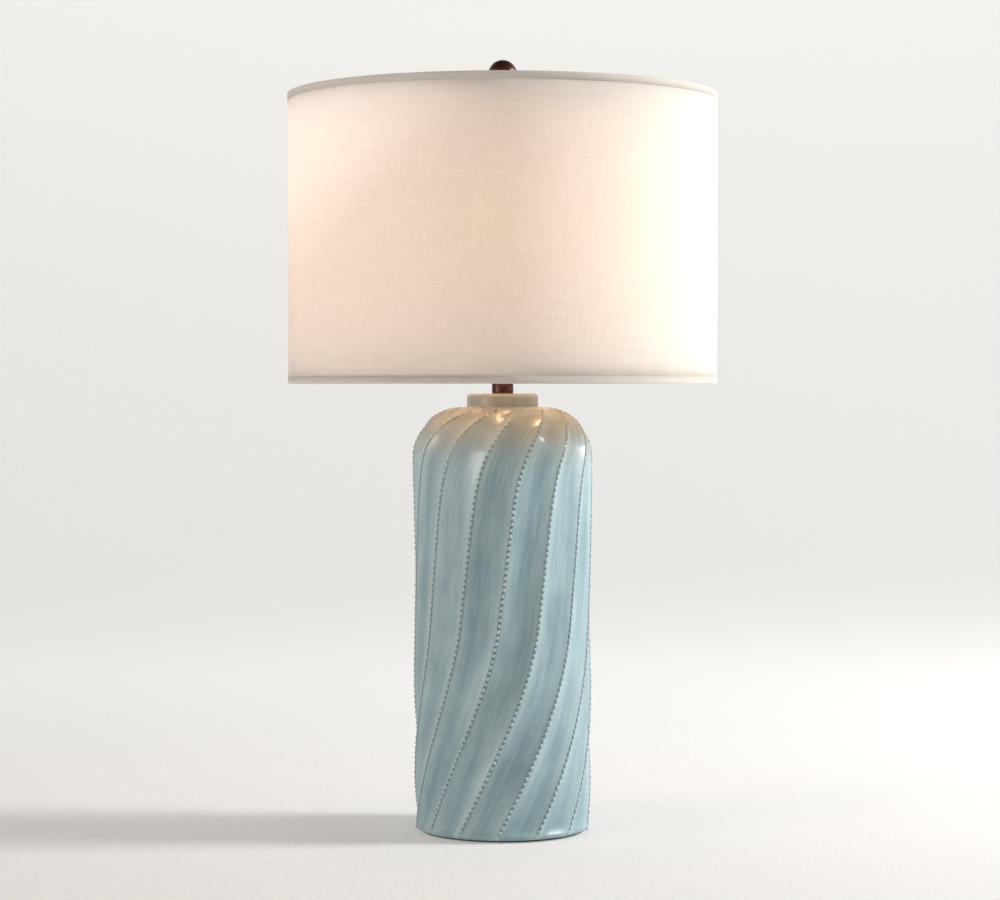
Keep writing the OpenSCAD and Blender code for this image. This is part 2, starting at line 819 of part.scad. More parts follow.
module finial_base() {
    bore_h = stud_h - hub_t + over;
    cove_top = finial_foot_h + finial_cove_h;
    color("#3a2a22") translate([0, 0, finial_z]) difference() {
        rotate_extrude() polygon([
            [0, 0], [seat_r, 0], [seat_r, finial_foot_h], [finial_cove_r, cove_top],
            [finial_stem_r, cove_top + finial_sweep_h], [finial_stem_r, finial_base_h - 2 * finial_cup_h],
            [cup_r, finial_base_h - finial_cup_h], [cup_r, finial_base_h], [spigot_r, finial_base_h],
            [spigot_r, finial_base_h + spigot_h], [0, finial_base_h + spigot_h]
        ]);
        translate([0, 0, -over]) cylinder(r = stud_r + fit_gap, h = bore_h + over);
    }
}

module finial_ball() {
    color("#3a2a22") difference() {
        translate([0, 0, ball_z]) sphere(r = ball_r);
        translate([0, 0, finial_z]) cylinder(r = spigot_r + fit_gap, h = finial_base_h + spigot_h + fit_gap);
        translate([0, 0, finial_z]) cylinder(r = ball_r, h = finial_base_h);
    }
}

ceramic_body();
felt_pad();
cord_bushing();
lamp_rod();
lower_washer();
lower_lock_washer();
lower_nut();
neck_washer();
neck_tube();
harp_saddle();
saddle_nut();
socket_cap();
cap_set_screw();
socket_shell();
insulating_sleeve();
switch_housing();
terminal_screws();
screw_shell();
centre_contact();
switch_shaft();
switch_knob();
bulb_glass();
bulb_filament();
bulb_screw_cap();
bulb_insulator();
bulb_contact();
harp_bow();
harp_stud();
harp_sleeve_left();
harp_sleeve_right();
shade_linen();
shade_liner();
top_hem();
bottom_hem();
top_ring();
bottom_ring();
spider_arms();
spider_hub();
finial_base();
finial_ball();
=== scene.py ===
"""A table lamp: a swirl-fluted, beaded ceramic body, dark bronze fittings and a linen drum shade."""
import json
import logging
import math
from collections.abc import Callable, Sequence
from dataclasses import dataclass
from enum import Enum

import bmesh
import bpy
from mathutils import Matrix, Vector


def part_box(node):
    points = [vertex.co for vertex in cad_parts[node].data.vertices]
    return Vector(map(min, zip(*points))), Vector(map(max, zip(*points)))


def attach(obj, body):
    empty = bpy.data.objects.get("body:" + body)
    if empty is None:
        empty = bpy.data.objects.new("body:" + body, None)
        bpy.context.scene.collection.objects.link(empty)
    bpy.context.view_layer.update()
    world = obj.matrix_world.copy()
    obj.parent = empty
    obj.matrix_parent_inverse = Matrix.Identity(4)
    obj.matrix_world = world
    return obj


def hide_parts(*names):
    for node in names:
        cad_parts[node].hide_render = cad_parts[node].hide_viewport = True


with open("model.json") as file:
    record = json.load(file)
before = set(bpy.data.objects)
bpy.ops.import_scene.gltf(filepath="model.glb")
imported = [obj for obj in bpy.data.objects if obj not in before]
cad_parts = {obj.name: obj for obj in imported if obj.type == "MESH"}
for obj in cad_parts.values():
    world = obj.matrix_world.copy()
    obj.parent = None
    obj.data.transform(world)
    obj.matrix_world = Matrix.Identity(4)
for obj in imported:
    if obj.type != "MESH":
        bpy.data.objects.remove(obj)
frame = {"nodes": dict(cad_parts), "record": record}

MM = 0.001
INCH = 0.0254
FITTING_PITCH = INCH / 27
TURN = 2 * math.pi
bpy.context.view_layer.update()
log = logging.getLogger("lamp")

Colour = tuple[float, float, float, float]


class Body(Enum):
    """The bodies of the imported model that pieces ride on."""

    BASE = "base"
    SWITCH = "switch"
    BULB = "bulb"
    HARP = "harp"
    SHADE = "shade"
    FINIAL = "finial"


class End(Enum):
    """The two ends of the drum, each as the way that it faces."""

    TOP = 1
    BOTTOM = -1


class Finish(Enum):
    """The lamp's finishes. Most have the name of a material slot in the record."""

    GLAZE = "glaze"
    FELT = "felt"
    BLACK_PLASTIC = "black_plastic"
    ZINC_STEEL = "zinc_steel"
    FIBRE = "fibre"
    BRONZE = "bronze"
    ANTIQUE_BRASS = "antique_brass"
    BRASS = "brass"
    PHENOLIC = "phenolic"
    NICKEL = "nickel"
    FROSTED_GLASS = "frosted_glass"
    BULB_STEM = "bulb_stem"
    LINEN = "linen"
    HEM = "hem"
    LINER = "liner"
    BOND = "bond"
    SHADE_WIRE = "shade_wire"
    BRONZE_THREAD = "bronze_thread"
    STEEL_THREAD = "steel_thread"


def paint(code: str) -> Colour:
    """Turns a colour as it looks, written like "#93b0b3", into the linear one that a shader takes.

    Args:
        code: six hexadecimal digits after a #.

    Returns:
        Red, green, blue and an alpha of 1.
    """
    shares = [int(code[i:i + 2], 16) / 255 for i in (1, 3, 5)]
    linear = [s / 12.92 if s <= 0.04045 else ((s + 0.055) / 1.055) ** 2.4 for s in shares]
    return (linear[0], linear[1], linear[2], 1.0)


def soft_step(share: float) -> float:
    """Returns a soft step that rises from 0 to 1 as share does."""
    kept = min(1.0, max(0.0, share))
    return kept * kept * (3 - 2 * kept)


def quarter(steps: int, first: int = 0) -> list[float]:
    """Returns the angles of a quarter turn cut into steps, from the step numbered first."""
    return [math.pi / 2 * k / steps for k in range(first, steps + 1)]


def add_object(name: str, data: bpy.types.ID) -> bpy.types.Object:
    """Puts data in the scene in a new object.

    Args:
        name: the object's name.
        data: its mesh, light or camera.

    Returns:
        The object.
    """
    made = bpy.data.objects.new(name, data)
    bpy.context.scene.collection.objects.link(made)
    return made


def finished_mesh(bm: bmesh.types.BMesh, name: str,
                  materials: Sequence[bpy.types.Material]) -> bpy.types.Mesh:
    """Turns a closed bmesh into a mesh whose faces point outwards, and frees it.

    Args:
        bm: the bmesh.
        name: the mesh's name.
        materials: the finishes of its material slots, in order.

    Returns:
        The mesh.
    """
    bmesh.ops.recalc_face_normals(bm, faces=bm.faces)
    mesh = bpy.data.meshes.new(name)
    bm.to_mesh(mesh)
    bm.free()
    for material in materials:
        mesh.materials.append(material)
    return mesh


# ---- Node trees written as expressions ----


class Sock:
    """A node's output that takes Python's operators: each one adds the Math node that does it."""

    def __init__(self, graph: "Graph", socket: bpy.types.NodeSocket) -> None:
        """Wraps one output of a node in graph."""
        self.graph = graph
        self.socket = socket

    def math(self, operation: str, *values: "Sock | float") -> "Sock":
        """Adds a Math node.

        Args:
            operation: the node's operation.
            values: what follows this socket in the node's inputs.

        Returns:
            The result.
        """
        return self.graph.math(operation, self, *values)

    def output(self, name: str) -> "Sock":
        """Returns another output of the same node, by its name."""
        return Sock(self.graph, self.socket.node.outputs[name])

    def smooth(self) -> "Sock":
        """Returns a soft step that rises from 0 to 1 as this value does."""
        share = self.math("MAXIMUM", 0.0).math("MINIMUM", 1.0)
        return share * share * (3 - 2 * share)

    def between(self, low: float, high: float) -> "Sock":
        """Returns a soft step that rises from 0 to 1 as this value goes from low to high."""
        return ((self - low) / (high - low)).smooth()

    def __add__(self, other: "Sock | float") -> "Sock":
        """Adds."""
        return self.math("ADD", other)

    def __radd__(self, other: float) -> "Sock":
        """Adds to a number."""
        return self.math("ADD", other)

    def __sub__(self, other: "Sock | float") -> "Sock":
        """Takes away."""
        return self.math("SUBTRACT", other)

    def __rsub__(self, other: float) -> "Sock":
        """Takes this away from a number."""
        return self.graph.math("SUBTRACT", other, self)

    def __mul__(self, other: "Sock | float") -> "Sock":
        """Multiplies."""
        return self.math("MULTIPLY", other)

    def __rmul__(self, other: float) -> "Sock":
        """Multiplies a number."""
        return self.math("MULTIPLY", other)

    def __truediv__(self, other: "Sock | float") -> "Sock":
        """Divides."""
        return self.math("DIVIDE", other)

    def __pow__(self, other: float) -> "Sock":
        """Raises to a power."""
        return self.math("POWER", other)


class Graph:
    """A node tree that is filled by calls that return sockets."""

    def __init__(self, tree: bpy.types.NodeTree) -> None:
        """Starts with the tree's nodes cleared away."""
        self.tree = tree
        tree.nodes.clear()

    def node(self, kind: str, settings: dict | None = None, inputs: dict | None = None) -> Sock:
        """Adds a node.

        Args:
            kind: the node's type.
            settings: its properties, set first; "stops" is a colour ramp's list of (place, colour).
            inputs: values or sockets, by the name or number of the input.

        Returns:
            The node's first output that is in use.
        """
        made = self.tree.nodes.new(kind)
        for name, value in (settings or {}).items():
            if name == "stops":
                while len(made.color_ramp.elements) < len(value):
                    made.color_ramp.elements.new(0.5)
                for element, (place, colour) in zip(made.color_ramp.elements, value):
                    element.position = place
                    element.color = colour
            else:
                setattr(made, name, value)
        for name, value in (inputs or {}).items():
            if isinstance(name, int):
                socket = made.inputs[name]
            else:
                socket = next(s for s in made.inputs if s.enabled and s.name == name)
            for one in value if isinstance(value, list) else [value]:
                if isinstance(one, Sock):
                    self.tree.links.new(one.socket, socket)
                else:
                    socket.default_value = one
        return Sock(self, next((s for s in made.outputs if s.enabled), None))

    def math(self, operation: str, *values: Sock | float) -> Sock:
        """Adds a Math node on values and returns its result."""
        return self.node("ShaderNodeMath", {"operation": operation}, dict(enumerate(values)))

    def vector(self, x: Sock | float, y: Sock | float, z: Sock | float) -> Sock:
        """Returns the vector of three values."""
        return self.node("ShaderNodeCombineXYZ", None, {"X": x, "Y": y, "Z": z})

    def parts(self, vector: Sock) -> tuple[Sock, Sock, Sock]:
        """Returns a vector's three values."""
        split = self.node("ShaderNodeSeparateXYZ", None, {"Vector": vector})
        return split, split.output("Y"), split.output("Z")

    def stretched(self, vector: Sock, scale: Sequence[float]) -> Sock:
        """Returns vector with each of its values multiplied."""
        return self.node("ShaderNodeVectorMath", {"operation": "MULTIPLY"}, {0: vector, 1: tuple(scale)})


class Shader(Graph):
    """The node tree of one material."""

    def __init__(self, name: str) -> None:
        """Makes the material.

        Args:
            name: the material's name.
        """
        self.material = bpy.data.materials.new(name)
        self.material.use_nodes = True
        super().__init__(self.material.node_tree)

    def place(self) -> Sock:
        """Returns where a point is on its object, in metres."""
        return self.node("ShaderNodeTexCoord").output("Object")

    def attribute(self, name: str) -> Sock:
        """Returns a vector that the mesh carries."""
        return self.node("ShaderNodeAttribute", {"attribute_name": name}).output("Vector")

    def value(self, name: str) -> Sock:
        """Returns a number that the mesh carries."""
        return self.node("ShaderNodeAttribute", {"attribute_name": name}).output("Fac")

    def uv(self) -> Sock:
        """Returns the piece's own unrolled place, in metres."""
        return self.node("ShaderNodeUVMap", {"uv_map": "UVMap"})

    def noise(self, vector: Sock, scale: float, detail: float = 2.0, rough: float = 0.5) -> Sock:
        """Returns noise from 0 to 1, with scale features a metre."""
        return self.node("ShaderNodeTexNoise", None,
                         {"Vector": vector, "Scale": scale, "Detail": detail, "Roughness": rough})

    def mix(self, share: Sock | float, first: Sock | Colour, second: Sock | Colour,
            blend: str = "MIX") -> Sock:
        """Returns a colour that goes from first to second as share rises."""
        return self.node("ShaderNodeMix", {"data_type": "RGBA", "blend_type": blend},
                         {"Factor": share, "A": first, "B": second})

    def bump(self, height: Sock, distance: float, strength: float = 1.0) -> Sock:
        """Returns the normal of a surface that stands distance metres proud where height is 1."""
        return self.node("ShaderNodeBump", None,
                         {"Strength": strength, "Distance": distance, "Height": height})

    def principled(self, **inputs: Sock | float | Colour) -> Sock:
        """Returns the surface shader, with each input named with _ for its spaces."""
        named = {name.replace("_", " "): value for name, value in inputs.items()}
        return self.node("ShaderNodeBsdfPrincipled", None, named)

    def lit_through(self, front: Sock, glow: str, normal: Sock, through: float) -> Sock:
        """Returns a surface that lets some of the light behind it through.

        Args:
            front: the surface as its face looks.
            glow: the colour of the light that comes through.
            normal: the surface's normal.
            through: the share of light that comes through.

        Returns:
            The two mixed.
        """
        lit = self.node("ShaderNodeBsdfTranslucent", None, {"Color": paint(glow), "Normal": normal})
        return self.node("ShaderNodeMixShader", None, {0: through, 1: front, 2: lit})

    def done(self, surface: Sock) -> bpy.types.Material:
        """Joins the surface to the output and returns the material."""
        self.node("ShaderNodeOutputMaterial", None, {"Surface": surface})
        return self.material


class Shaper(Graph):
    """A geometry tree with named sizes that turns a seed mesh into a finished one."""

    def __init__(self, name: str, sizes: dict[str, float | int]) -> None:
        """Makes the tree's inputs, one for each size.

        Args:
            name: the tree's name.
            sizes: each input's name and value; whole numbers become whole-number inputs.
        """
        tree = bpy.data.node_groups.new(name, "GeometryNodeTree")
        super().__init__(tree)
        self.name = name
        self.sizes = sizes
        tree.interface.new_socket("Geometry", in_out="INPUT", socket_type="NodeSocketGeometry")
        self.sockets = {
            size: tree.interface.new_socket(
                size, in_out="INPUT",
                socket_type="NodeSocketInt" if isinstance(value, int) else "NodeSocketFloat",
            )
            for size, value in sizes.items()
        }
        tree.interface.new_socket("Geometry", in_out="OUTPUT", socket_type="NodeSocketGeometry")
        self.source = tree.nodes.new("NodeGroupInput")

    def seed(self) -> Sock:
        """Returns the geometry that the tree starts from."""
        return Sock(self, self.source.outputs["Geometry"])

    def size(self, name: str) -> Sock:
        """Returns one of the named sizes."""
        return Sock(self, self.source.outputs[name])

    def sample(self, name: str, index: Sock, vector: bool = False) -> Sock:
        """Reads an attribute of the seed mesh.

        Args:
            name: the attribute, or "position".
            index: which vertex.
            vector: True for a vector, False for a number.

        Returns:
            The attribute's value there.
        """
        kind = "FLOAT_VECTOR" if vector else "FLOAT"
        if name == "position":
            value = self.node("GeometryNodeInputPosition")
        else:
            value = self.node("GeometryNodeInputNamedAttribute", {"data_type": kind}, {"Name": name})
        return self.node("GeometryNodeSampleIndex", {"data_type": kind, "domain": "POINT"},
                         {"Geometry": self.seed(), "Value": value, "Index": index})

    def store(self, geometry: Sock, name: str, value: Sock | float, kind: str = "FLOAT",
              domain: str = "POINT") -> Sock:
        """Stores value on the geometry as a named attribute and returns the geometry."""
        return self.node("GeometryNodeStoreNamedAttribute", {"data_type": kind, "domain": domain},
                         {"Geometry": geometry, "Name": name, "Value": value})

    def moved(self, geometry: Sock, position: Sock) -> Sock:
        """Returns the geometry with its points at position."""
        return self.node("GeometryNodeSetPosition", None, {"Geometry": geometry, "Position": position})

    def made(self, seed: bpy.types.Mesh, result: Sock, material: bpy.types.Material) -> bpy.types.Mesh:
        """Runs the tree on a seed mesh.

        Args:
            seed: the mesh that the tree starts from.
            result: the geometry that it ends with.
            material: the finish that covers it.

        Returns:
            A plain mesh.
        """
        joined = self.node("GeometryNodeRealizeInstances", None, {"Geometry": result})
        smooth = self.node("GeometryNodeSetShadeSmooth", None, {"Geometry": joined})
        dressed = self.node("GeometryNodeSetMaterial", None, {"Geometry": smooth, "Material": material})
        self.node("NodeGroupOutput", None, {"Geometry": dressed})
        host = add_object(self.name + "_host", seed)
        modifier = host.modifiers.new(self.name, "NODES")
        modifier.node_group = self.tree
        for size, value in self.sizes.items():
            modifier[self.sockets[size].identifier] = value
        graph = bpy.context.evaluated_depsgraph_get()
        mesh = bpy.data.meshes.new_from_object(host.evaluated_get(graph), depsgraph=graph)
        host.modifiers.remove(modifier)
        bpy.data.objects.remove(host)
        mesh.name = self.name
        return mesh


def add_piece(name: str, mesh: bpy.types.Mesh, body: Body, finish: Finish, *nodes: str) -> bpy.types.Object:
    """Puts a finished mesh in the scene as a piece of the lamp.

    Args:
        name: the piece's name.
        mesh: its mesh, in place.
        body: the body that it rides on.
        finish: not used.
        nodes: the CAD nodes that it stands for.

    Returns:
        The new object.
    """
    piece = add_object(name, mesh)
    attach(piece, body.value)
    if nodes:
        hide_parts(*nodes)
    log.info("%s: %d faces on %s", name, len(mesh.polygons), body.value)
    return piece


# ---- Finishes ----


class Recipe:
    """What a finish is made of."""

    def surface(self, g: Shader) -> Sock:
        """Shades the finish.

        Args:
            g: the material's node tree.

        Returns:
            The surface.
        """
        raise NotImplementedError

    def material(self, name: str) -> bpy.types.Material:
        """Returns the finish as a material of that name."""
        g = Shader(name)
        return g.done(self.surface(g))


@dataclass(frozen=True)
class Glaze(Recipe):
    """Blue-green glaze: darker where it pools in the flutes and between the beads, streaked by the brush."""

    pooled: str = "#728c95"
    thin: str = "#9cb0b3"
    broken: str = "#c2cfd0"
    notch: str = "#4f686e"
    # painted light: the colour of the bulb's warm light, painted on the shoulder and the neck, and how
    # strongly it is painted
    painted_lamplight: str = "#a8987f"
    painted_lamplight_share: float = 0.62
    notch_share: float = 0.85

    def surface(self, g: Shader) -> Sock:
        """Shades the glaze, with the bulb's warm light painted as a tan tint over the shoulder and on the
        neck.

        Args:
            g: the material's node tree.

        Returns:
            The surface.
        """
        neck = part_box("neck_washer")[0][2]
        _, _, z = g.parts(g.place())
        flow = g.attribute("flow")
        share = g.value("share")
        bead = g.value("bead")
        streak = g.noise(g.stretched(flow, (620, 22, 1)), 1, 3, 0.6)
        fine = g.noise(g.stretched(flow, (1900, 60, 1)), 1, 2, 0.6)
        wash = g.noise(g.stretched(flow, (70, 9, 1)), 1, 3, 0.55)
        cloud = g.noise(g.place(), 24, 3, 0.6)
        speck = g.noise(g.place(), 900, 1, 0.5)
        depth = share * 0.5 + (streak - 0.5) + (wash - 0.5) * 1.3 + (cloud - 0.5) * 0.8 + 0.15
        body = g.mix(depth.between(-0.1, 1.1), paint(self.thin), paint(self.pooled))
        body = g.mix((fine - 0.5) * 0.5 + 0.25, body, paint(self.broken), "SOFT_LIGHT")
        crease = 1 - share.between(0.05, 0.24)
        body = g.mix(crease * g.value("fluted") * self.notch_share, body, paint(self.notch))
        edge = g.mix((speck + cloud * 0.6).between(0.75, 1.3), paint(self.thin), paint(self.broken))
        colour = g.mix(bead, body, edge)
        # painted light: the bulb's warm light, painted as a tan tint that grows up the shoulder to the neck
        high = (z + (cloud - 0.5) * 0.03 + (wash - 0.5) * 0.03).between(neck - 0.075, neck - 0.008)
        colour = g.mix(high * self.painted_lamplight_share, colour, paint(self.painted_lamplight))
        round_off = (z + (streak - 0.5) * 0.04).between(neck - 0.1, neck - 0.05)
        height = streak * 0.5 + fine * 0.35 + speck * 0.15
        rough = 0.4 + (streak - 0.5) * 0.3 + (speck - 0.5) * 0.12
        return g.principled(
            Base_Color=colour, Roughness=rough, Normal=g.bump(height, 0.25 * MM),
            Coat_Weight=round_off * 0.5 + 0.05, Coat_Roughness=0.2, Specular_IOR_Level=0.45,
        )


@dataclass(frozen=True)
class Metal(Recipe):
    """Turned, drawn or plated metal with tarnish in patches and fine lines round it."""

    bright: str
    dull: str
    rough: float
    tarnish: float = 0.4
    thread: float = 0.0

    def surface(self, g: Shader) -> Sock:
        """Shades the metal, with its thread where it has one.

        Args:
            g: the material's node tree.

        Returns:
            The surface.
        """
        place = g.place()
        patch = g.noise(place, 160, 4, 0.6)
        lines = g.noise(g.stretched(place, (40, 40, 5200)), 1, 2, 0.5)
        grain = g.noise(place, 2600, 1, 0.5)
        cover = ((patch - 0.5) * 1.6 + self.tarnish).between(0.1, 0.9)
        colour = g.mix(cover, paint(self.bright), paint(self.dull))
        height = lines * 0.6 + grain * 0.4
        distance = 0.04 * MM
        if self.thread:
            x, y, z = g.parts(place)
            around = g.math("ARCTAN2", y, x) / TURN
            wave = ((z / self.thread - around) * TURN).math("COSINE")
            height = height * 0.1 + wave
            distance = 0.28 * self.thread
        return g.principled(
            Base_Color=colour, Metallic=1.0 - cover * 0.25, Normal=g.bump(height, distance),
            Roughness=self.rough + (lines - 0.5) * 0.12 + (cover - 0.5) * 0.18,
        )


@dataclass(frozen=True)
class Moulded(Recipe):
    """Moulded plastic, pressed fibre or paint: one colour, mottled, with a fine skin."""

    colour: str
    mottle: str
    rough: float
    skin: float = 1500.0

    def surface(self, g: Shader) -> Sock:
        """Shades the moulded finish.

        Args:
            g: the material's node tree.

        Returns:
            The surface.
        """
        place = g.place()
        cloud = g.noise(place, 120, 4, 0.6)
        skin = g.noise(place, self.skin, 2, 0.6)
        colour = g.mix(cloud.between(0.3, 0.75), paint(self.colour), paint(self.mottle))
        return g.principled(
            Base_Color=colour, Roughness=self.rough + (cloud - 0.5) * 0.2,
            Normal=g.bump(skin, 0.05 * MM),
        )


@dataclass(frozen=True)
class Felt(Recipe):
    """Dense wool felt: matted fibres and a soft sheen."""

    colour: str = "#3c4a44"
    fibre: str = "#5c6b64"

    def surface(self, g: Shader) -> Sock:
        """Shades the felt.

        Args:
            g: the material's node tree.

        Returns:
            The surface.
        """
        place = g.place()
        matted = g.noise(place, 700, 5, 0.7)
        cross = g.noise(g.stretched(place, (2600, 500, 900)), 1, 2, 0.6)
        colour = g.mix((matted * 0.7 + cross * 0.3).between(0.35, 0.7), paint(self.colour), paint(self.fibre))
        return g.principled(
            Base_Color=colour, Roughness=0.95, Normal=g.bump(matted + cross, 0.3 * MM),
            Sheen_Weight=0.4, Sheen_Roughness=0.5,
        )


@dataclass(frozen=True)
class Linen(Recipe):
    """Plain-woven linen with uneven threads, which lets some of the light behind it through."""

    colour: str
    thread: str
    glow: str
    through: float
    pitch: float = 0.95 * MM

    def surface(self, g: Shader) -> Sock:
        """Shades the cloth on its unrolled place.

        Args:
            g: the material's node tree.

        Returns:
            The surface.
        """
        uv = g.uv()
        across, along, _ = g.parts(uv)
        drift = (g.noise(uv, 90, 2, 0.5) - 0.5) * 0.9 * MM
        warp = ((across + drift) * (TURN / self.pitch)).math("SINE")
        weft = ((along + drift) * (TURN / self.pitch)).math("SINE")
        weave = (warp * weft) * 0.5 + 0.5
        upright = g.noise(g.stretched(uv, (950, 28, 1)), 1, 3, 0.65)
        level = g.noise(g.stretched(uv, (24, 950, 1)), 1, 3, 0.65)
        slub = (upright * 0.6 + level * 0.5 - 0.05).between(0.32, 0.72)
        shade = weave * 0.35 + slub * 0.65
        colour = g.mix(shade, paint(self.thread), paint(self.colour))
        height = weave * 0.5 + slub * 0.5
        normal = g.bump(height, 0.42 * MM)
        front = g.principled(Base_Color=colour, Roughness=0.9, Normal=normal, Sheen_Weight=0.15,
                             Specular_IOR_Level=0.2)
        return g.lit_through(front, self.glow, normal, self.through)


@dataclass(frozen=True)
class Sheeting(Recipe):
    """White styrene sheet behind the cloth, or a face inside the bond that only passes light on."""

    colour: str
    glow: str
    through: float
    mottle: str = "#f7f2ea"

    def surface(self, g: Shader) -> Sock:
        """Shades the sheeting.

        Args:
            g: the material's node tree.

        Returns:
            The surface.
        """
        place = g.place()
        cloud = g.noise(place, 45, 3, 0.55)
        peel = g.noise(place, 420, 2, 0.5)
        colour = g.mix(cloud.between(0.25, 0.8), paint(self.mottle), paint(self.colour))
        normal = g.bump(peel, 0.06 * MM)
        front = g.principled(Base_Color=colour, Roughness=0.55 + (peel - 0.5) * 0.15, Normal=normal)
        return g.lit_through(front, self.glow, normal, self.through)


@dataclass(frozen=True)
class LitGlass(Recipe):
    """Frosted bulb glass with the light on: hottest round the filament, softer by the neck."""

    strength: float = 40.0
    colour: str = "#fff4e4"
    hot: str = "#ffd6a4"
    cool: str = "#ffc58a"

    def surface(self, g: Shader) -> Sock:
        """Shades the glass round the middle of its ball.

        Args:
            g: the material's node tree.

        Returns:
            The surface.
        """
        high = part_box("bulb_glass")[1]
        radius = high.x
        middle = high.z - radius
        place = g.place()
        _, _, z = g.parts(place)
        near = 1 - ((z - middle).math("ABSOLUTE") / (1.6 * radius)).smooth()
        grain = g.noise(place, 1800, 1, 0.5)
        glow = g.mix(near, paint(self.cool), paint(self.hot))
        return g.principled(
            Base_Color=paint(self.colour), Roughness=0.45 + (grain - 0.5) * 0.2, Emission_Color=glow,
            Emission_Strength=self.strength, Normal=g.bump(grain, 0.03 * MM),
        )


@dataclass(frozen=True)
class Stem(Recipe):
    """Clear glass stem inside the bulb, with a faint smoky cast."""

    clear: str = "#f2efe6"
    smoky: str = "#dcd8cc"

    def surface(self, g: Shader) -> Sock:
        """Shades the glass.

        Args:
            g: the material's node tree.

        Returns:
            The surface.
        """
        cloud = g.noise(g.place(), 300, 2, 0.5)
        return g.principled(
            Base_Color=g.mix(cloud, paint(self.clear), paint(self.smoky)), Roughness=0.12 + cloud * 0.1,
            Transmission_Weight=0.7, IOR=1.5,
        )


class Finishes:
    """The lamp's finishes, each made once."""

    recipes: dict[Finish, Recipe] = {
        Finish.GLAZE: Glaze(),
        Finish.FELT: Felt(),
        Finish.BLACK_PLASTIC: Moulded("#2b2624", "#37312e", 0.45),
        Finish.ZINC_STEEL: Metal("#b9b6ae", "#8d8d8a", 0.34),
        Finish.FIBRE: Moulded("#7b6a55", "#64533f", 0.8, 900),
        Finish.BRONZE: Metal("#6c4636", "#37251e", 0.38, 0.45),
        Finish.ANTIQUE_BRASS: Metal("#a08a5a", "#6f5f3e", 0.36, 0.5),
        Finish.BRASS: Metal("#c9a85a", "#9c7f41", 0.28, 0.35),
        Finish.PHENOLIC: Moulded("#231d1b", "#2f2826", 0.32),
        Finish.NICKEL: Metal("#cfccc4", "#a9a69e", 0.25, 0.3),
        Finish.FROSTED_GLASS: LitGlass(),
        Finish.BULB_STEM: Stem(),
        Finish.LINEN: Linen("#fefcf8", "#e9e3d9", "#fdfbfb", 0.42),
        Finish.HEM: Linen("#fffcf7", "#f3ede5", "#fffaf4", 0.5),
        Finish.LINER: Sheeting("#f1ede6", "#fbfaff", 0.5),
        Finish.BOND: Sheeting("#fffaf2", "#fffdfb", 0.93),
        Finish.SHADE_WIRE: Moulded("#d8d4cb", "#bfbab0", 0.4),
        Finish.BRONZE_THREAD: Metal("#a08a5a", "#6f5f3e", 0.4, 0.5, FITTING_PITCH),
        Finish.STEEL_THREAD: Metal("#b9b6ae", "#8d8d8a", 0.38, 0.4, FITTING_PITCH),
    }

    def __init__(self) -> None:
        """Starts with nothing made."""
        self.made: dict[Finish, bpy.types.Material] = {}

    def get(self, finish: Finish) -> bpy.types.Material:
        """Returns a finish's material, and makes it the first time."""
        if finish not in self.made:
            self.made[finish] = self.recipes[finish].material(finish.value)
        return self.made[finish]

    def dress(self, node: str, finish: Finish) -> None:
        """Gives a CAD node its finish, by its object's material slots."""
        for slot in frame["nodes"][node].material_slots:
            slot.link = "OBJECT"
            slot.material = self.get(finish)


# ---- Meshes turned round the lamp's axis ----


@dataclass
class Outline:
    """Half section of a turned piece, as points on a closed line, each with what its surface carries."""

    points: list[tuple[float, float]]
    lean: list[tuple[float, float]]
    run: list[float]
    depth: list[float]

    def mesh(self, name: str) -> bpy.types.Mesh:
        """Lays the outline out as a seed mesh.

        Args:
            name: the mesh's name.

        Returns:
            A mesh of loose points, its first point repeated at the end.
        """
        order = list(range(len(self.points))) + [0]
        mesh = bpy.data.meshes.new(name)
        mesh.from_pydata([(self.points[i][0], 0, self.points[i][1]) for i in order], [], [])
        length = [0.0]
        for i, j in zip(order, order[1:]):
            length.append(length[-1] + math.dist(self.points[i], self.points[j]))
        floats = {"run": [self.run[i] for i in order], "depth": [self.depth[i] for i in order],
                  "length": length}
        for key, values in floats.items():
            mesh.attributes.new(key, "FLOAT", "POINT").data.foreach_set("value", values)
        lean = [v for i in order for v in (self.lean[i][0], 0.0, self.lean[i][1])]
        mesh.attributes.new("lean", "FLOAT_VECTOR", "POINT").data.foreach_set("vector", lean)
        return mesh


def turned_grid(g: Shaper) -> tuple[Sock, Sock, Sock]:
    """Lays a grid whose rows are the seed outline's points and whose columns go round.

    Args:
        g: the tree, with the sizes Rows and Columns.

    Returns:
        The grid, the share of a whole turn at each of its points, and the number of its outline point.
    """
    rows = g.size("Rows")
    grid = g.node("GeometryNodeMeshGrid", None, {
        "Size X": 1.0, "Size Y": 1.0, "Vertices X": g.size("Columns") + 1, "Vertices Y": rows})
    x, y, _ = g.parts(g.node("GeometryNodeInputPosition"))
    row = ((y + 0.5) * (rows - 1)).math("ROUND")
    return grid, x + 0.5, row


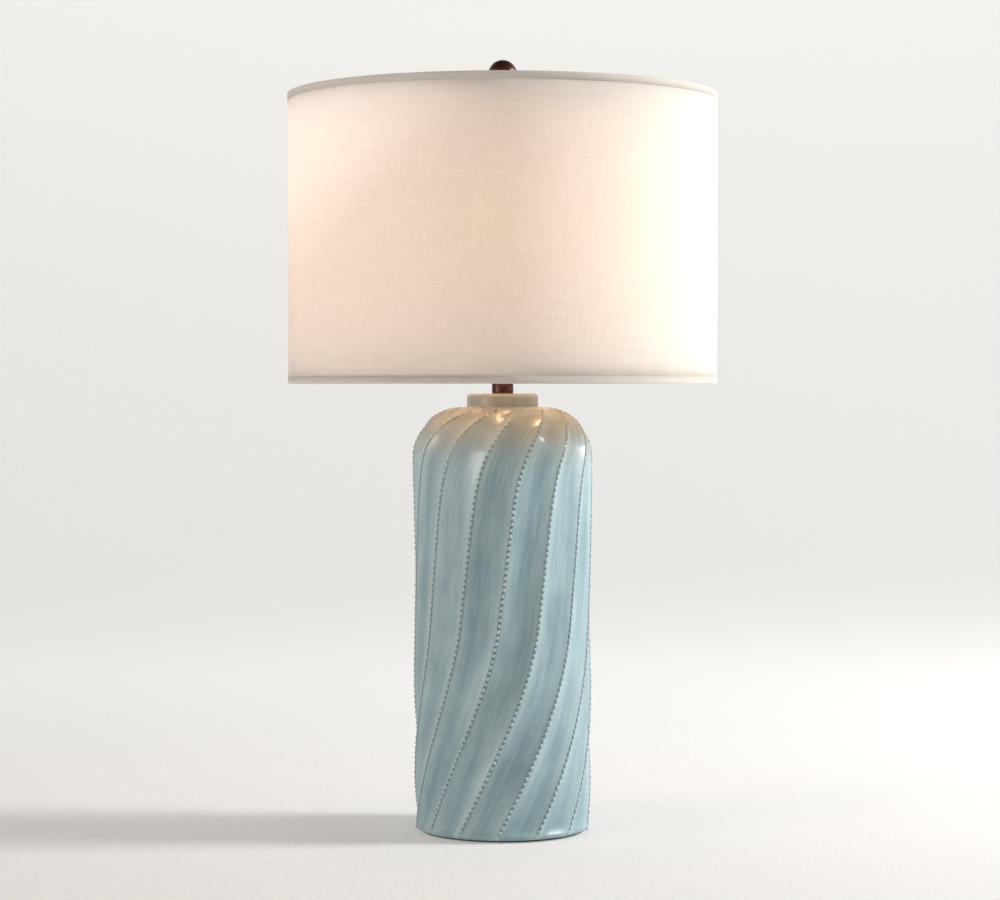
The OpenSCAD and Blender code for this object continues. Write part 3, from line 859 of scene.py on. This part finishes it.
@dataclass
class CeramicBody:
    """Hollow thrown body: ribs that swirl up it, a row of beads on each rib, a neck and a foot ring."""

    finishes: Finishes
    ribs: int = 14
    per_flute: int = 14
    crest_r: float = 85.0 * MM
    foot_r: float = 83.2 * MM
    shoulder_z: float = 356 * MM
    shoulder_round: float = 46 * MM
    foot_edge: float = 5 * MM
    foot_land: float = 10 * MM
    recess_h: float = 17 * MM
    floor_t: float = 7 * MM
    wall: float = 6 * MM
    flute_depth: float = 4.2 * MM
    plain_band: float = 3 * MM
    rib_start: float = 9 * MM
    rib_end: float = 3 * MM
    neck_r: float = 33.8 * MM
    neck_edge: float = 4 * MM
    neck_fillet: float = 1.6 * MM
    mid_turn: float = 0.085
    foot_turn: float = 0.375
    shoulder_turn: float = 0.0154
    bead_pitch: float = 5.5 * MM
    bead_length: float = 4.4 * MM
    bead_width: float = 2.9 * MM
    bead_height: float = 2.4 * MM
    bead_proud: float = 0.8 * MM
    bead_start: float = 2 * MM
    bead_stop: float = math.radians(86)
    bead_skew: float = 0.22
    bead_least: float = 0.86
    bead_most: float = 1.1
    bead_narrowing: float = 0.35
    rib_steps: int = 260
    wall_steps: int = 90
    shoulder_steps: int = 24
    edge_steps: int = 6
    foot_swirl: float = 0.56
    mid_swirl: float = 0.64
    shoulder_swirl: float = 0.815
    rod_gap: float = 0.5 * MM
    recess_corner: float = 3 * MM
    outlet_gap: float = 0.4 * MM
    outlet_lip: float = 2.2 * MM
    outlet_reach: float = 10 * MM
    seed: int = 4

    def __post_init__(self) -> None:
        """Takes the heights and the rod's size from the frame."""
        self.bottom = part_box("felt_pad")[1].z
        self.wall_foot = self.bottom + self.foot_edge
        self.shoulder_top = self.shoulder_z + self.shoulder_round
        self.neck_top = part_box("ceramic_body")[1].z
        self.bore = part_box("lamp_rod")[1].x + self.rod_gap

    def wall_radius(self, z: float) -> float:
        """Returns the crests' radius on the wall at height z."""
        share = (z - self.wall_foot) / (self.shoulder_z - self.wall_foot)
        return self.foot_r + (self.crest_r - self.foot_r) * share

    def flute_at(self, run: float, radius: float, z: float) -> float:
        """Works out the flutes' depth at a point of the outline.

        Args:
            run: how far the point is along the outline from the foot.
            radius: its distance from the lamp's axis.
            z: its height.

        Returns:
            The depth, which is 0 at the foot and on the neck.
        """
        rise = soft_step((run - self.plain_band) / self.rib_start)
        fall = 1 - soft_step((z - self.shoulder_top + self.rib_end) / self.rib_end)
        return self.flute_depth * rise * min(1.0, radius / self.crest_r) * fall

    def outline(self) -> Outline:
        """Lays out the body's half section.

        Returns:
            Its outline: foot, wall, shoulder, neck, then the inside and underneath.
        """
        made = Outline([], [], [], [])

        def add(r: float, z: float, run: float, lean: tuple[float, float], fluted: bool = False) -> None:
            """Adds a point to the outline.

            Args:
                r: its radius.
                z: its height.
                run: how far along the outline it counts as, for the ribs' turn.
                lean: the way that its surface faces, outwards and up.
                fluted: whether the flutes reach it.
            """
            made.points.append((r, z))
            made.lean.append(lean)
            made.run.append(run)
            made.depth.append(self.flute_at(run, r, z) if fluted else 0.0)

        for a in quarter(self.edge_steps):
            z = self.wall_foot - self.foot_edge * math.cos(a)
            add(self.foot_r - self.foot_edge * (1 - math.sin(a)), z, z, (math.sin(a), -math.cos(a)), True)
        for k in range(1, self.wall_steps + 1):
            z = self.wall_foot + (self.shoulder_z - self.wall_foot) * k / self.wall_steps
            add(self.wall_radius(z), z, z, (1, 0), True)
        for a in quarter(self.shoulder_steps, 1):
            add(self.crest_r - self.shoulder_round * (1 - math.cos(a)),
                self.shoulder_z + self.shoulder_round * math.sin(a),
                self.shoulder_z + self.shoulder_round * a, (math.cos(a), math.sin(a)), True)
        end = self.shoulder_z + self.shoulder_round * math.pi / 2
        for a in quarter(3):
            add(self.neck_r + self.neck_fillet * (1 - math.sin(a)),
                self.shoulder_top + self.neck_fillet * (1 - math.cos(a)), end, (0, 1))
        for k in range(1, 4):
            low = self.shoulder_top + self.neck_fillet
            add(self.neck_r, low + (self.neck_top - self.neck_edge - low) * k / 3, end, (1, 0))
        for a in quarter(self.edge_steps, 1):
            add(self.neck_r - self.neck_edge * (1 - math.cos(a)),
                self.neck_top - self.neck_edge * (1 - math.sin(a)), end, (math.cos(a), math.sin(a)))
        floor_z = self.bottom + self.recess_h
        inset = self.flute_depth + self.wall
        inner_neck = self.neck_r - self.wall
        inner_round = self.shoulder_round - inset
        for r in (22 * MM, 12 * MM, self.bore):
            add(r, self.neck_top, end, (0, 1))
        add(self.bore, self.neck_top - self.wall, end, (-1, 0))
        add(inner_neck, self.neck_top - self.wall, end, (0, -1))
        add(inner_neck, self.shoulder_z + inner_round, end, (-1, 0))
        for a in reversed(quarter(8)):
            add(self.crest_r - inset - inner_round * (1 - math.cos(a)),
                self.shoulder_z + inner_round * math.sin(a),
                self.shoulder_z + self.shoulder_round * a, (-math.cos(a), -math.sin(a)))
        for k in range(1, self.shoulder_steps + 1):
            z = self.shoulder_z + (floor_z + self.floor_t - self.shoulder_z) * k / self.shoulder_steps
            add(self.wall_radius(z) - inset, z, z, (-1, 0))
        low = self.plain_band
        add(self.bore, floor_z + self.floor_t, low, (0, 1))
        add(self.bore, floor_z, low, (0, -1))
        recess = self.foot_r - self.foot_edge - self.foot_land
        add(recess - self.recess_corner, floor_z, low, (0, -1))
        add(recess, floor_z - self.recess_corner, low, (-1, 0))
        add(recess, self.bottom, low, (0, -1))
        return made

    def turn(self, g: Shaper, run: Sock) -> Sock:
        """Works out how far the ribs have turned.

        Args:
            g: the tree, with the three sizes of the turn.
            run: how far along the outline.

        Returns:
            The turn, in radians.
        """
        low = (self.foot_swirl * self.shoulder_z - run).math("MAXIMUM", 0.0) / MM
        high = (run - self.shoulder_swirl * self.shoulder_z).math("MAXIMUM", 0.0) / (10 * MM)
        mid = (run / MM - self.mid_swirl * self.shoulder_z / MM) * g.size("Turn at mid height")
        foot = (low * low) / (low + self.foot_swirl * self.shoulder_z / MM) * g.size("Turn at the foot")
        return (mid - foot + high * high * high * g.size("Turn on the shoulder")) * (math.pi / 180)

    def skin(self, g: Shaper) -> Sock:
        """Turns the outline into the fluted surface.

        Args:
            g: the body's tree.

        Returns:
            The closed surface, with what the glaze reads stored on it.
        """
        grid, turns, row = turned_grid(g)
        radius, _, height = g.parts(g.sample("position", row, True))
        out, _, up = g.parts(g.sample("lean", row, True))
        depth = g.sample("depth", row)
        t = (turns * g.size("Ribs")).math("FRACT")
        share = 4 * t * (1 - t)
        angle = turns * TURN + self.turn(g, g.sample("run", row))
        sunk = depth * share
        r = radius - sunk * out
        place = g.vector(r * angle.math("SINE"), r * angle.math("COSINE") * -1, height - sunk * up)
        flow = g.vector(turns * (TURN * self.crest_r), g.sample("length", row), 0.0)
        laid = g.store(grid, "flow", flow, "FLOAT_VECTOR", "CORNER")
        laid = g.store(laid, "share", share)
        laid = g.store(laid, "fluted", depth / self.flute_depth)
        laid = g.moved(laid, place)
        return g.node("GeometryNodeMergeByDistance", None, {"Geometry": laid, "Distance": 0.01 * MM})

    def outlet(self, g: Shaper, skin: Sock) -> Sock:
        """Cuts the cord outlet's bore and its flat seat into the back of the foot.

        Args:
            g: the body's tree.
            skin: the fluted surface.

        Returns:
            The surface with both cut out.
        """
        low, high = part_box("cord_bushing")
        flange = (high.x - low.x) / 2 + self.outlet_gap
        seat_y = self.foot_r - self.flute_depth - 0.5 * MM
        cuts = []
        for radius, start in ((flange, seat_y), (flange - self.outlet_lip, low.y - 5 * MM)):
            end = self.foot_r + self.outlet_reach
            rod = g.node("GeometryNodeMeshCylinder", None, {
                "Vertices": 48, "Radius": radius, "Depth": end - start})
            cuts.append(g.node("GeometryNodeTransform", None, {
                "Geometry": rod, "Translation": (0, (start + end) / 2, (low.z + high.z) / 2),
                "Rotation": (math.pi / 2, 0, 0)}))
        cutter = g.node("GeometryNodeMeshBoolean", {"operation": "UNION", "solver": "EXACT"}, {"Mesh": cuts})
        return g.node("GeometryNodeMeshBoolean", {"operation": "DIFFERENCE", "solver": "EXACT"},
                      {0: skin, 1: cutter})

    def rib_lines(self, g: Shaper) -> Sock:
        """Runs a curve along every rib, with a point for each bead.

        Args:
            g: the body's tree.

        Returns:
            The curves, with how far the surface tilts over the shoulder stored on them.
        """
        first = self.wall_foot - self.bead_start
        last = self.shoulder_z + self.shoulder_round * self.bead_stop
        line = g.node("GeometryNodeMeshLine", None, {"Count": self.rib_steps})
        run = g.node("GeometryNodeInputIndex") * ((last - first) / (self.rib_steps - 1)) + first
        tilt = (run - self.shoulder_z).math("MAXIMUM", 0.0) / self.shoulder_round
        wall = run.math("MINIMUM", self.shoulder_z)
        slope = (self.crest_r - self.foot_r) / (self.shoulder_z - self.wall_foot)
        sink = 0.5 * self.bead_height - g.size("Bead stands proud")
        radius = (wall - self.wall_foot) * slope + self.foot_r \
            - (1 - tilt.math("COSINE")) * self.shoulder_round - tilt.math("COSINE") * sink
        z = wall + tilt.math("SINE") * (self.shoulder_round - sink)
        angle = self.turn(g, run)
        line = g.store(line, "tilt", tilt)
        line = g.moved(line, g.vector(radius * angle.math("SINE"), radius * angle.math("COSINE") * -1, z))
        rib = g.node("GeometryNodeMeshToCurve", None, {"Mesh": line})
        spokes = g.node("GeometryNodePoints", None, {"Count": g.size("Ribs")})
        part = g.node("GeometryNodeInputIndex") * TURN / g.size("Ribs")
        turned = g.node("FunctionNodeEulerToRotation", None, {"Euler": g.vector(0.0, 0.0, part)})
        all_ribs = g.node("GeometryNodeInstanceOnPoints", None,
                          {"Points": spokes, "Instance": rib, "Rotation": turned})
        all_ribs = g.node("GeometryNodeRealizeInstances", None, {"Geometry": all_ribs})
        return g.node("GeometryNodeResampleCurve", {"mode": "LENGTH"},
                      {"Curve": all_ribs, "Length": g.size("Bead pitch")})

    def beads(self, g: Shaper) -> Sock:
        """Sets a row of beads along each rib, close together, each a little different.

        Args:
            g: the body's tree.

        Returns:
            The beads, as instances.
        """
        x, y, _ = g.parts(g.node("GeometryNodeInputPosition"))
        out = (x * x + y * y).math("SQRT")
        lean = g.node("GeometryNodeInputNamedAttribute", {"data_type": "FLOAT"}, {"Name": "tilt"})
        flat = lean.math("COSINE")
        normal = g.vector(x / out * flat, y / out * flat, lean.math("SINE"))
        tangent = g.node("GeometryNodeInputTangent")
        stand = g.node("FunctionNodeAxesToRotation", {"primary_axis": "Z", "secondary_axis": "X"},
                       {"Primary Axis": normal, "Secondary Axis": tangent})
        skew = g.node("FunctionNodeRandomValue", {"data_type": "FLOAT"},
                      {"Min": -self.bead_skew, "Max": self.bead_skew, "Seed": g.size("Seed")})
        tipped = g.node("FunctionNodeEulerToRotation", None, {"Euler": g.vector(0.0, 0.0, skew)})
        stand = g.node("FunctionNodeRotateRotation", {"rotation_space": "LOCAL"},
                       {"Rotation": stand, "Rotate By": tipped})
        grown = g.node("FunctionNodeRandomValue", {"data_type": "FLOAT"},
                       {"Min": self.bead_least, "Max": self.bead_most, "Seed": g.size("Seed") + 1})
        narrow = (out / self.crest_r) ** self.bead_narrowing
        scale = g.vector(grown * (self.bead_length / 2), grown * narrow * (self.bead_width / 2),
                         grown * narrow * (self.bead_height / 2))
        ball = g.node("GeometryNodeMeshUVSphere", None, {"Segments": 8, "Rings": 6, "Radius": 1.0})
        ball = g.store(ball, "bead", 1.0)
        return g.node("GeometryNodeInstanceOnPoints", None,
                      {"Points": self.rib_lines(g), "Instance": ball, "Rotation": stand, "Scale": scale})

    def build(self) -> bpy.types.Object:
        """Builds the body.

        Returns:
            The body, in place.
        """
        outline = self.outline()
        g = Shaper("fluted_body", {
            "Rows": len(outline.points) + 1, "Columns": self.ribs * self.per_flute, "Ribs": self.ribs,
            "Turn at mid height": self.mid_turn, "Turn at the foot": self.foot_turn,
            "Turn on the shoulder": self.shoulder_turn, "Bead pitch": self.bead_pitch,
            "Bead stands proud": self.bead_proud, "Seed": self.seed,
        })
        skin = self.outlet(g, self.skin(g))
        both = g.node("GeometryNodeJoinGeometry", None, {"Geometry": [skin, self.beads(g)]})
        mesh = g.made(outline.mesh("body_outline"), both, self.finishes.get(Finish.GLAZE))
        return add_piece("fluted_body", mesh, Body.BASE, Finish.GLAZE, "ceramic_body")


# ---- Shade ----


def wall_section(radius: float, wall: float, low: float, high: float,
                 steps: int) -> list[tuple[float, float]]:
    """Lays out the half section of a straight upright wall.

    Args:
        radius: its outside.
        wall: its thickness.
        low: height of its lower end.
        high: height of its upper end.
        steps: how many faces it is high.

    Returns:
        Points up the outside, then down the inside.
    """
    rise = (high - low) / steps
    outside = [(radius, low + rise * k) for k in range(steps + 1)]
    return outside + [(radius - wall, high - rise * k) for k in range(steps + 1)]


def wound_band(name: str, section: Sequence[tuple[float, float]], inner: Sequence[int], overlap: float,
               lift: float, columns: int, ripple: Callable[[float, float], float],
               materials: Sequence[bpy.types.Material]) -> bpy.types.Mesh:
    """Winds a thin section once round the lamp's axis until it passes over its own start, at the back.

    Args:
        name: the mesh's name.
        section: the closed half section, as (radius, height), counter-clockwise seen with +X to the right.
        inner: which of the section's sides take the second material.
        overlap: how far the end passes over the start, in metres.
        lift: how far the end stands off the start, in metres.
        columns: how many faces go round.
        ripple: extra radius, from the angle in radians and the height.
        materials: one finish, or the outer and the inner one.

    Returns:
        The band as a closed mesh, with its own unrolled place in metres as its UV map.
    """
    radius = max(r for r, _ in section)
    extra = overlap / radius
    sweep = TURN + extra
    bm = bmesh.new()
    unrolled = bm.loops.layers.uv.new("UVMap")
    count = len(section)
    lengths = [0.0]
    for k in range(count):
        lengths.append(lengths[-1] + math.dist(section[k], section[(k + 1) % count]))
    rings = []
    for c in range(columns + 1):
        turned = sweep * c / columns
        a = math.pi / 2 + turned - extra / 2
        risen = lift * min(1.0, max(0.0, (turned - TURN + extra) / extra))
        spots = [(r + risen + ripple(a, z), z) for r, z in section]
        rings.append([bm.verts.new((r * math.cos(a), r * math.sin(a), z)) for r, z in spots])
    for c in range(columns):
        for k in range(count):
            j = (k + 1) % count
            face = bm.faces.new((rings[c][k], rings[c + 1][k], rings[c + 1][j], rings[c][j]))
            face.smooth = True
            face.material_index = 1 if k in inner and len(materials) > 1 else 0
            places = ((c, k), (c + 1, k), (c + 1, k + 1), (c, k + 1))
            for loop, (column, step) in zip(face.loops, places):
                loop[unrolled].uv = (radius * sweep * column / columns, lengths[step])
    bm.faces.new(list(reversed(rings[0])))
    bm.faces.new(rings[-1])
    return finished_mesh(bm, name, materials)


@dataclass
class DrumShade:
    """Linen drum: cloth bonded to a styrene liner, rolled over a ring wire at each end."""

    finishes: Finishes
    columns: int = 288
    cloth_t: float = 0.6 * MM
    liner_t: float = 0.8 * MM
    hem_t: float = 0.4 * MM
    hem_h: float = 7 * MM
    seam: float = 12 * MM
    wire_r: float = 1.6 * MM
    fold_r: float = 0.7 * MM
    wire_gap: float = 0.15 * MM

    def __post_init__(self) -> None:
        """Takes the drum's size from the frame."""
        low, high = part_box("shade_linen")
        self.bottom, self.top = low.z, high.z
        self.cloth_r = high.x
        self.hem_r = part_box("top_hem")[1].x

    def cloth_ripple(self, angle: float, z: float) -> float:
        """Works out how far the hand-rolled cloth stands off a true drum.

        Args:
            angle: the place round the drum, in radians.
            z: the height.

        Returns:
            The extra radius.
        """
        up = (z - self.bottom) / (self.top - self.bottom)
        swell = math.sin(3 * angle + 1.3) * 0.10 + math.sin(7 * angle + 4 * up) * 0.05
        return swell * MM * math.sin(math.pi * up)

    def hem_ripple(self, angle: float, z: float) -> float:
        """Returns how far a glued hem wanders."""
        return (math.sin(23 * angle + 1.7) + math.sin(41 * angle)) * 0.03 * MM

    def cloth(self) -> bpy.types.Object:
        """Makes the linen, one layer with a seam at the back.

        Returns:
            The linen.
        """
        steps = 14
        section = wall_section(self.cloth_r, self.cloth_t, self.bottom, self.top, steps)
        faces = [self.finishes.get(Finish.LINEN), self.finishes.get(Finish.BOND)]
        mesh = wound_band("linen_cover", section, range(steps + 1, 2 * steps + 1), self.seam, self.cloth_t,
                          self.columns, self.cloth_ripple, faces)
        return add_piece("linen_cover", mesh, Body.SHADE, Finish.LINEN, "shade_linen")

    def liner(self) -> bpy.types.Object:
        """Makes the styrene liner.

        Returns:
            The liner.
        """
        low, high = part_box("shade_liner")
        steps = 6
        section = wall_section(high.x, self.liner_t, low.z, high.z, steps)
        faces = [self.finishes.get(Finish.LINER), self.finishes.get(Finish.BOND)]
        mesh = wound_band("styrene_liner", section, range(steps), 0.5 * self.seam, -self.liner_t,
                          self.columns, lambda a, z: 0.0, faces)
        return add_piece("styrene_liner", mesh, Body.SHADE, Finish.LINER, "shade_liner")

    def hem(self, node: str, edge: float, end: End) -> bpy.types.Object:
        """Makes a strip of linen folded over one end of the drum.

        Args:
            node: the CAD node that it stands for.
            edge: height of the drum's end.
            end: which end it is.

        Returns:
            The hem.
        """
        side, t = end.value, self.hem_t
        outer_r = self.hem_r
        inner_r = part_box("shade_liner")[1].x - self.liner_t - 2 * self.wire_r - self.wire_gap - t
        down = edge - side * self.hem_h

        def fold(start_r: float, end_r: float, top: float, rnd: float) -> list[tuple[float, float]]:
            """Runs a line up one leg, over the fold and down the other.

            Args:
                start_r: radius of the first leg.
                end_r: radius of the second leg.
                top: height of the fold.
                rnd: radius of its two corners.

            Returns:
                The line's points.
            """
            sign = 1 if end_r > start_r else -1
            corner = [(rnd * (1 - math.cos(a)), side * rnd * (1 - math.sin(a))) for a in quarter(4)]
            up = [(start_r + sign * x, top - z) for x, z in corner]
            back = [(end_r - sign * rnd * (1 - math.sin(a)), top - side * rnd * (1 - math.cos(a)))
                    for a in quarter(4)]
            return [(start_r, down)] + up + back + [(end_r, down)]

        over = fold(outer_r, inner_r, edge, self.fold_r)
        under = fold(inner_r + t, outer_r - t, edge - side * t, self.fold_r - t / 2)
        mesh = wound_band(node + "_strip", over + under, (), self.seam * 0.8, t, self.columns,
                          self.hem_ripple, [self.finishes.get(Finish.HEM)])
        return add_piece(node + "_strip", mesh, Body.SHADE, Finish.HEM, node)

    def build(self) -> None:
        """Builds the drum."""
        hems = [self.hem("top_hem", self.top + self.hem_t, End.TOP),
                self.hem("bottom_hem", self.bottom - self.hem_t, End.BOTTOM)]
        liner = self.liner()
        cloth = self.cloth()


# ---- Small turned and threaded pieces ----


@dataclass
class FeltPad:
    """Felt disc under the foot, its cut edge a little uneven."""

    finishes: Finishes
    rings: int = 10
    columns: int = 96

    def build(self) -> bpy.types.Object:
        """Builds the pad.

        Returns:
            The pad.
        """
        low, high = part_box("felt_pad")
        radius, t = high.x, high.z - low.z
        bm = bmesh.new()
        soft = t * 0.3

        def edge(a: float) -> float:
            """Returns the cut edge's radius at an angle."""
            return radius - (0.35 + 0.2 * math.sin(17 * a) + 0.15 * math.sin(29 * a + 1)) * MM

        shares = [k / self.rings for k in range(1, self.rings)]
        levels = [(share, low.z) for share in shares] + [(1.0, low.z + soft), (1.0, high.z - soft)]
        levels += [(share, high.z) for share in reversed(shares)]
        loops = []
        for share, z in levels:
            loops.append([
                bm.verts.new((edge(a) * share * math.cos(a), edge(a) * share * math.sin(a), z))
                for a in (TURN * c / self.columns for c in range(self.columns))
            ])
        for first, second in zip(loops, loops[1:]):
            for c in range(self.columns):
                d = (c + 1) % self.columns
                bm.faces.new((first[c], first[d], second[d], second[c])).smooth = True
        for loop, z in ((loops[0], low.z), (loops[-1], high.z)):
            hub = bm.verts.new((0, 0, z))
            for c in range(self.columns):
                bm.faces.new((loop[c], loop[(c + 1) % self.columns], hub)).smooth = True
        mesh = finished_mesh(bm, "felt_disc", [self.finishes.get(Finish.FELT)])
        pad = add_piece("felt_disc", mesh, Body.BASE, Finish.FELT, "felt_pad")
        return pad


@dataclass
class RolledThread:
    """Thin shell with a coarse thread rolled into it, as on a medium screw bulb and its holder."""

    finishes: Finishes
    name: str
    node: str
    body: Body
    finish: Finish
    wall: float = 0.45 * MM
    pitch: float = INCH / 7
    depth: float = 0.85 * MM
    plain: float = 2.2 * MM
    columns: int = 64
    steps_a_turn: int = 12

    def build(self) -> bpy.types.Object:
        """Builds the shell.

        Returns:
            The shell.
        """
        low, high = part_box(self.node)
        crest = high.x - self.depth / 2
        steps = int((high.z - low.z) / self.pitch * self.steps_a_turn)
        points, lean, run, depth = [], [], [], []
        for radius in (crest, crest - self.wall):
            heights = [low.z + (high.z - low.z) * k / steps for k in range(steps + 1)]
            for z in heights if radius == crest else reversed(heights):
                near = min(z - low.z, high.z - z) / self.plain
                points.append((radius, z))
                lean.append((1.0, 0.0))
                run.append(z)
                depth.append(self.depth / 2 * min(1.0, near))
        outline = Outline(points, lean, run, depth)
        g = Shaper(self.name, {"Rows": len(points) + 1, "Columns": self.columns, "Pitch": self.pitch})
        grid, turns, row = turned_grid(g)
        radius, _, z = g.parts(g.sample("position", row, True))
        wave = ((z / g.size("Pitch") - turns) * TURN).math("COSINE")
        r = radius + wave * g.sample("depth", row)
        angle = turns * TURN
        laid = g.moved(grid, g.vector(r * angle.math("COSINE"), r * angle.math("SINE"), z))
        laid = g.node("GeometryNodeMergeByDistance", None, {"Geometry": laid, "Distance": 0.005 * MM})
        mesh = g.made(outline.mesh(self.name + "_outline"), laid, self.finishes.get(self.finish))
        return add_piece(self.name, mesh, self.body, self.finish, self.node)


@dataclass
class Hardware:
    """The CAD nodes that are shown as they are: each takes its slot's finish."""

    finishes: Finishes

    def build(self) -> None:
        """Dresses every node; the rod and the stud take a threaded finish in place of their slot's."""
        threads = {"harp_stud": Finish.BRONZE_THREAD, "lamp_rod": Finish.STEEL_THREAD}
        for entry in frame["record"]["subparts"]:
            node = entry["node"]
            finish = threads.get(node, Finish(entry["material_slot"]))
            self.finishes.dress(node, finish)
            log.info("%s: dressed as %s", node, finish.value)


# ---- Stage ----


@dataclass(frozen=True)
class Paper(Recipe):
    """Matt backdrop paper that glows a little, brighter to the right, higher up and behind the lamp."""

    colour: str = "#b9b9b7"
    fleck: str = "#c2c2c0"
    left: str = "#cfcdc9"
    right: str = "#f9f9f8"
    front: str = "#9f9c9b"
    glow: float = 0.63

    def surface(self, g: Shader) -> Sock:
        """Shades the paper.

        Args:
            g: the material's node tree.

        Returns:
            The surface.
        """
        place = g.place()
        x, y, z = g.parts(place)
        grain = g.noise(place, 240, 2, 0.5)
        light = (x * 0.07 + z * 0.16 + 0.46).between(0.0, 1.0)
        behind = y.between(-0.6, 1.6)
        colour = g.mix(grain.between(0.3, 0.7), paint(self.colour), paint(self.fleck))
        glow = g.mix(light, paint(self.left), paint(self.right))
        glow = g.mix(behind, paint(self.front), glow)
        return g.principled(
            Base_Color=colour, Roughness=0.9, Specular_IOR_Level=0.1,
            Emission_Color=glow, Emission_Strength=self.glow,
        )


@dataclass(frozen=True)
class SoftLight:
    """A round area light that faces a point."""

    name: str
    place: tuple[float, float, float]
    aim: tuple[float, float, float]
    size: float
    power: float
    colour: str

    def build(self) -> None:
        """Adds the light."""
        light = bpy.data.lights.new(self.name, "AREA")
        light.shape = "DISK"
        light.size = self.size
        light.energy = self.power
        light.color = paint(self.colour)[:3]
        holder = add_object(self.name, light)
        holder.location = self.place
        holder.rotation_mode = "QUATERNION"
        holder.rotation_quaternion = (Vector(self.aim) - Vector(self.place)).to_track_quat("-Z", "Y")


@dataclass
class Studio:
    """Pale seamless bowl of paper round the lamp, soft lights and the camera."""

    floor_r: float = 3.4
    corner: float = 1.6
    height: float = 4.2
    columns: int = 96
    floor_steps: int = 6
    corner_steps: int = 16
    lights: tuple[SoftLight, ...] = (
        SoftLight("key", (2.35, -0.02, 1.4), (0, 0, 0.36), 0.7, 91, "#fffffe"),
        SoftLight("fill", (-2.2, -1.2, 0.8), (0, 0, 0.35), 1.3, 25, "#fff3ee"),
    )

    def bowl(self) -> None:
        """Builds the floor, which curves up into a wall all round."""
        line = [(self.floor_r * k / self.floor_steps, 0.0) for k in range(1, self.floor_steps + 1)]
        for a in quarter(self.corner_steps, 1):
            line.append((self.floor_r + self.corner * math.sin(a), self.corner * (1 - math.cos(a))))
        line.append((self.floor_r + self.corner, self.height))
        turns = [TURN * c / self.columns for c in range(self.columns)]
        points = [(0.0, 0.0, 0.0)] + [(r * math.cos(a), r * math.sin(a), z) for r, z in line for a in turns]
        faces = [(0, 1 + c, 1 + (c + 1) % self.columns) for c in range(self.columns)]
        for k in range(len(line) - 1):
            low, high = 1 + k * self.columns, 1 + (k + 1) * self.columns
            faces += [(low + c, high + c, high + (c + 1) % self.columns, low + (c + 1) % self.columns)
                      for c in range(self.columns)]
        mesh = bpy.data.meshes.new("studio_bowl")
        mesh.from_pydata(points, [], faces)
        mesh.polygons.foreach_set("use_smooth", [True] * len(faces))
        mesh.materials.append(Paper().material("studio_paper"))
        add_object("studio_bowl", mesh)

    def camera(self) -> None:
        """Adds the camera: level with the body, looking slightly down."""
        lens = bpy.data.cameras.new("camera")
        lens.lens = 96.3
        lens.sensor_width = 36.0
        holder = add_object("camera", lens)
        holder.location = (-2.5 * MM, -2.54, 0.424)
        holder.rotation_euler = (math.radians(88.59), 0.0, 0.0)
        bpy.context.scene.camera = holder

    def build(self) -> None:
        """Builds the stage."""
        self.bowl()
        self.camera()
        for light in self.lights:
            light.build()
        world = bpy.data.worlds.new("room")
        world.use_nodes = True
        g = Graph(world.node_tree)
        sky = g.node("ShaderNodeBackground", None, {"Color": paint("#f2f1ef"), "Strength": 0.12})
        g.node("ShaderNodeOutputWorld", None, {"Surface": sky})
        bpy.context.scene.world = world
        bpy.context.scene.view_settings.view_transform = "Standard"


def main() -> None:
    """Builds the lamp and its stage in order."""
    logging.basicConfig(level=logging.INFO, format="%(name)s: %(message)s")
    finishes = Finishes()
    Hardware(finishes).build()
    CeramicBody(finishes).build()
    FeltPad(finishes).build()
    DrumShade(finishes).build()
    RolledThread(finishes, "bulb_cap_thread", "bulb_screw_cap", Body.BULB, Finish.NICKEL).build()
    RolledThread(finishes, "holder_thread", "screw_shell", Body.BASE, Finish.BRASS).build()
    Studio().build()


if __name__ == "__main__":
    main()
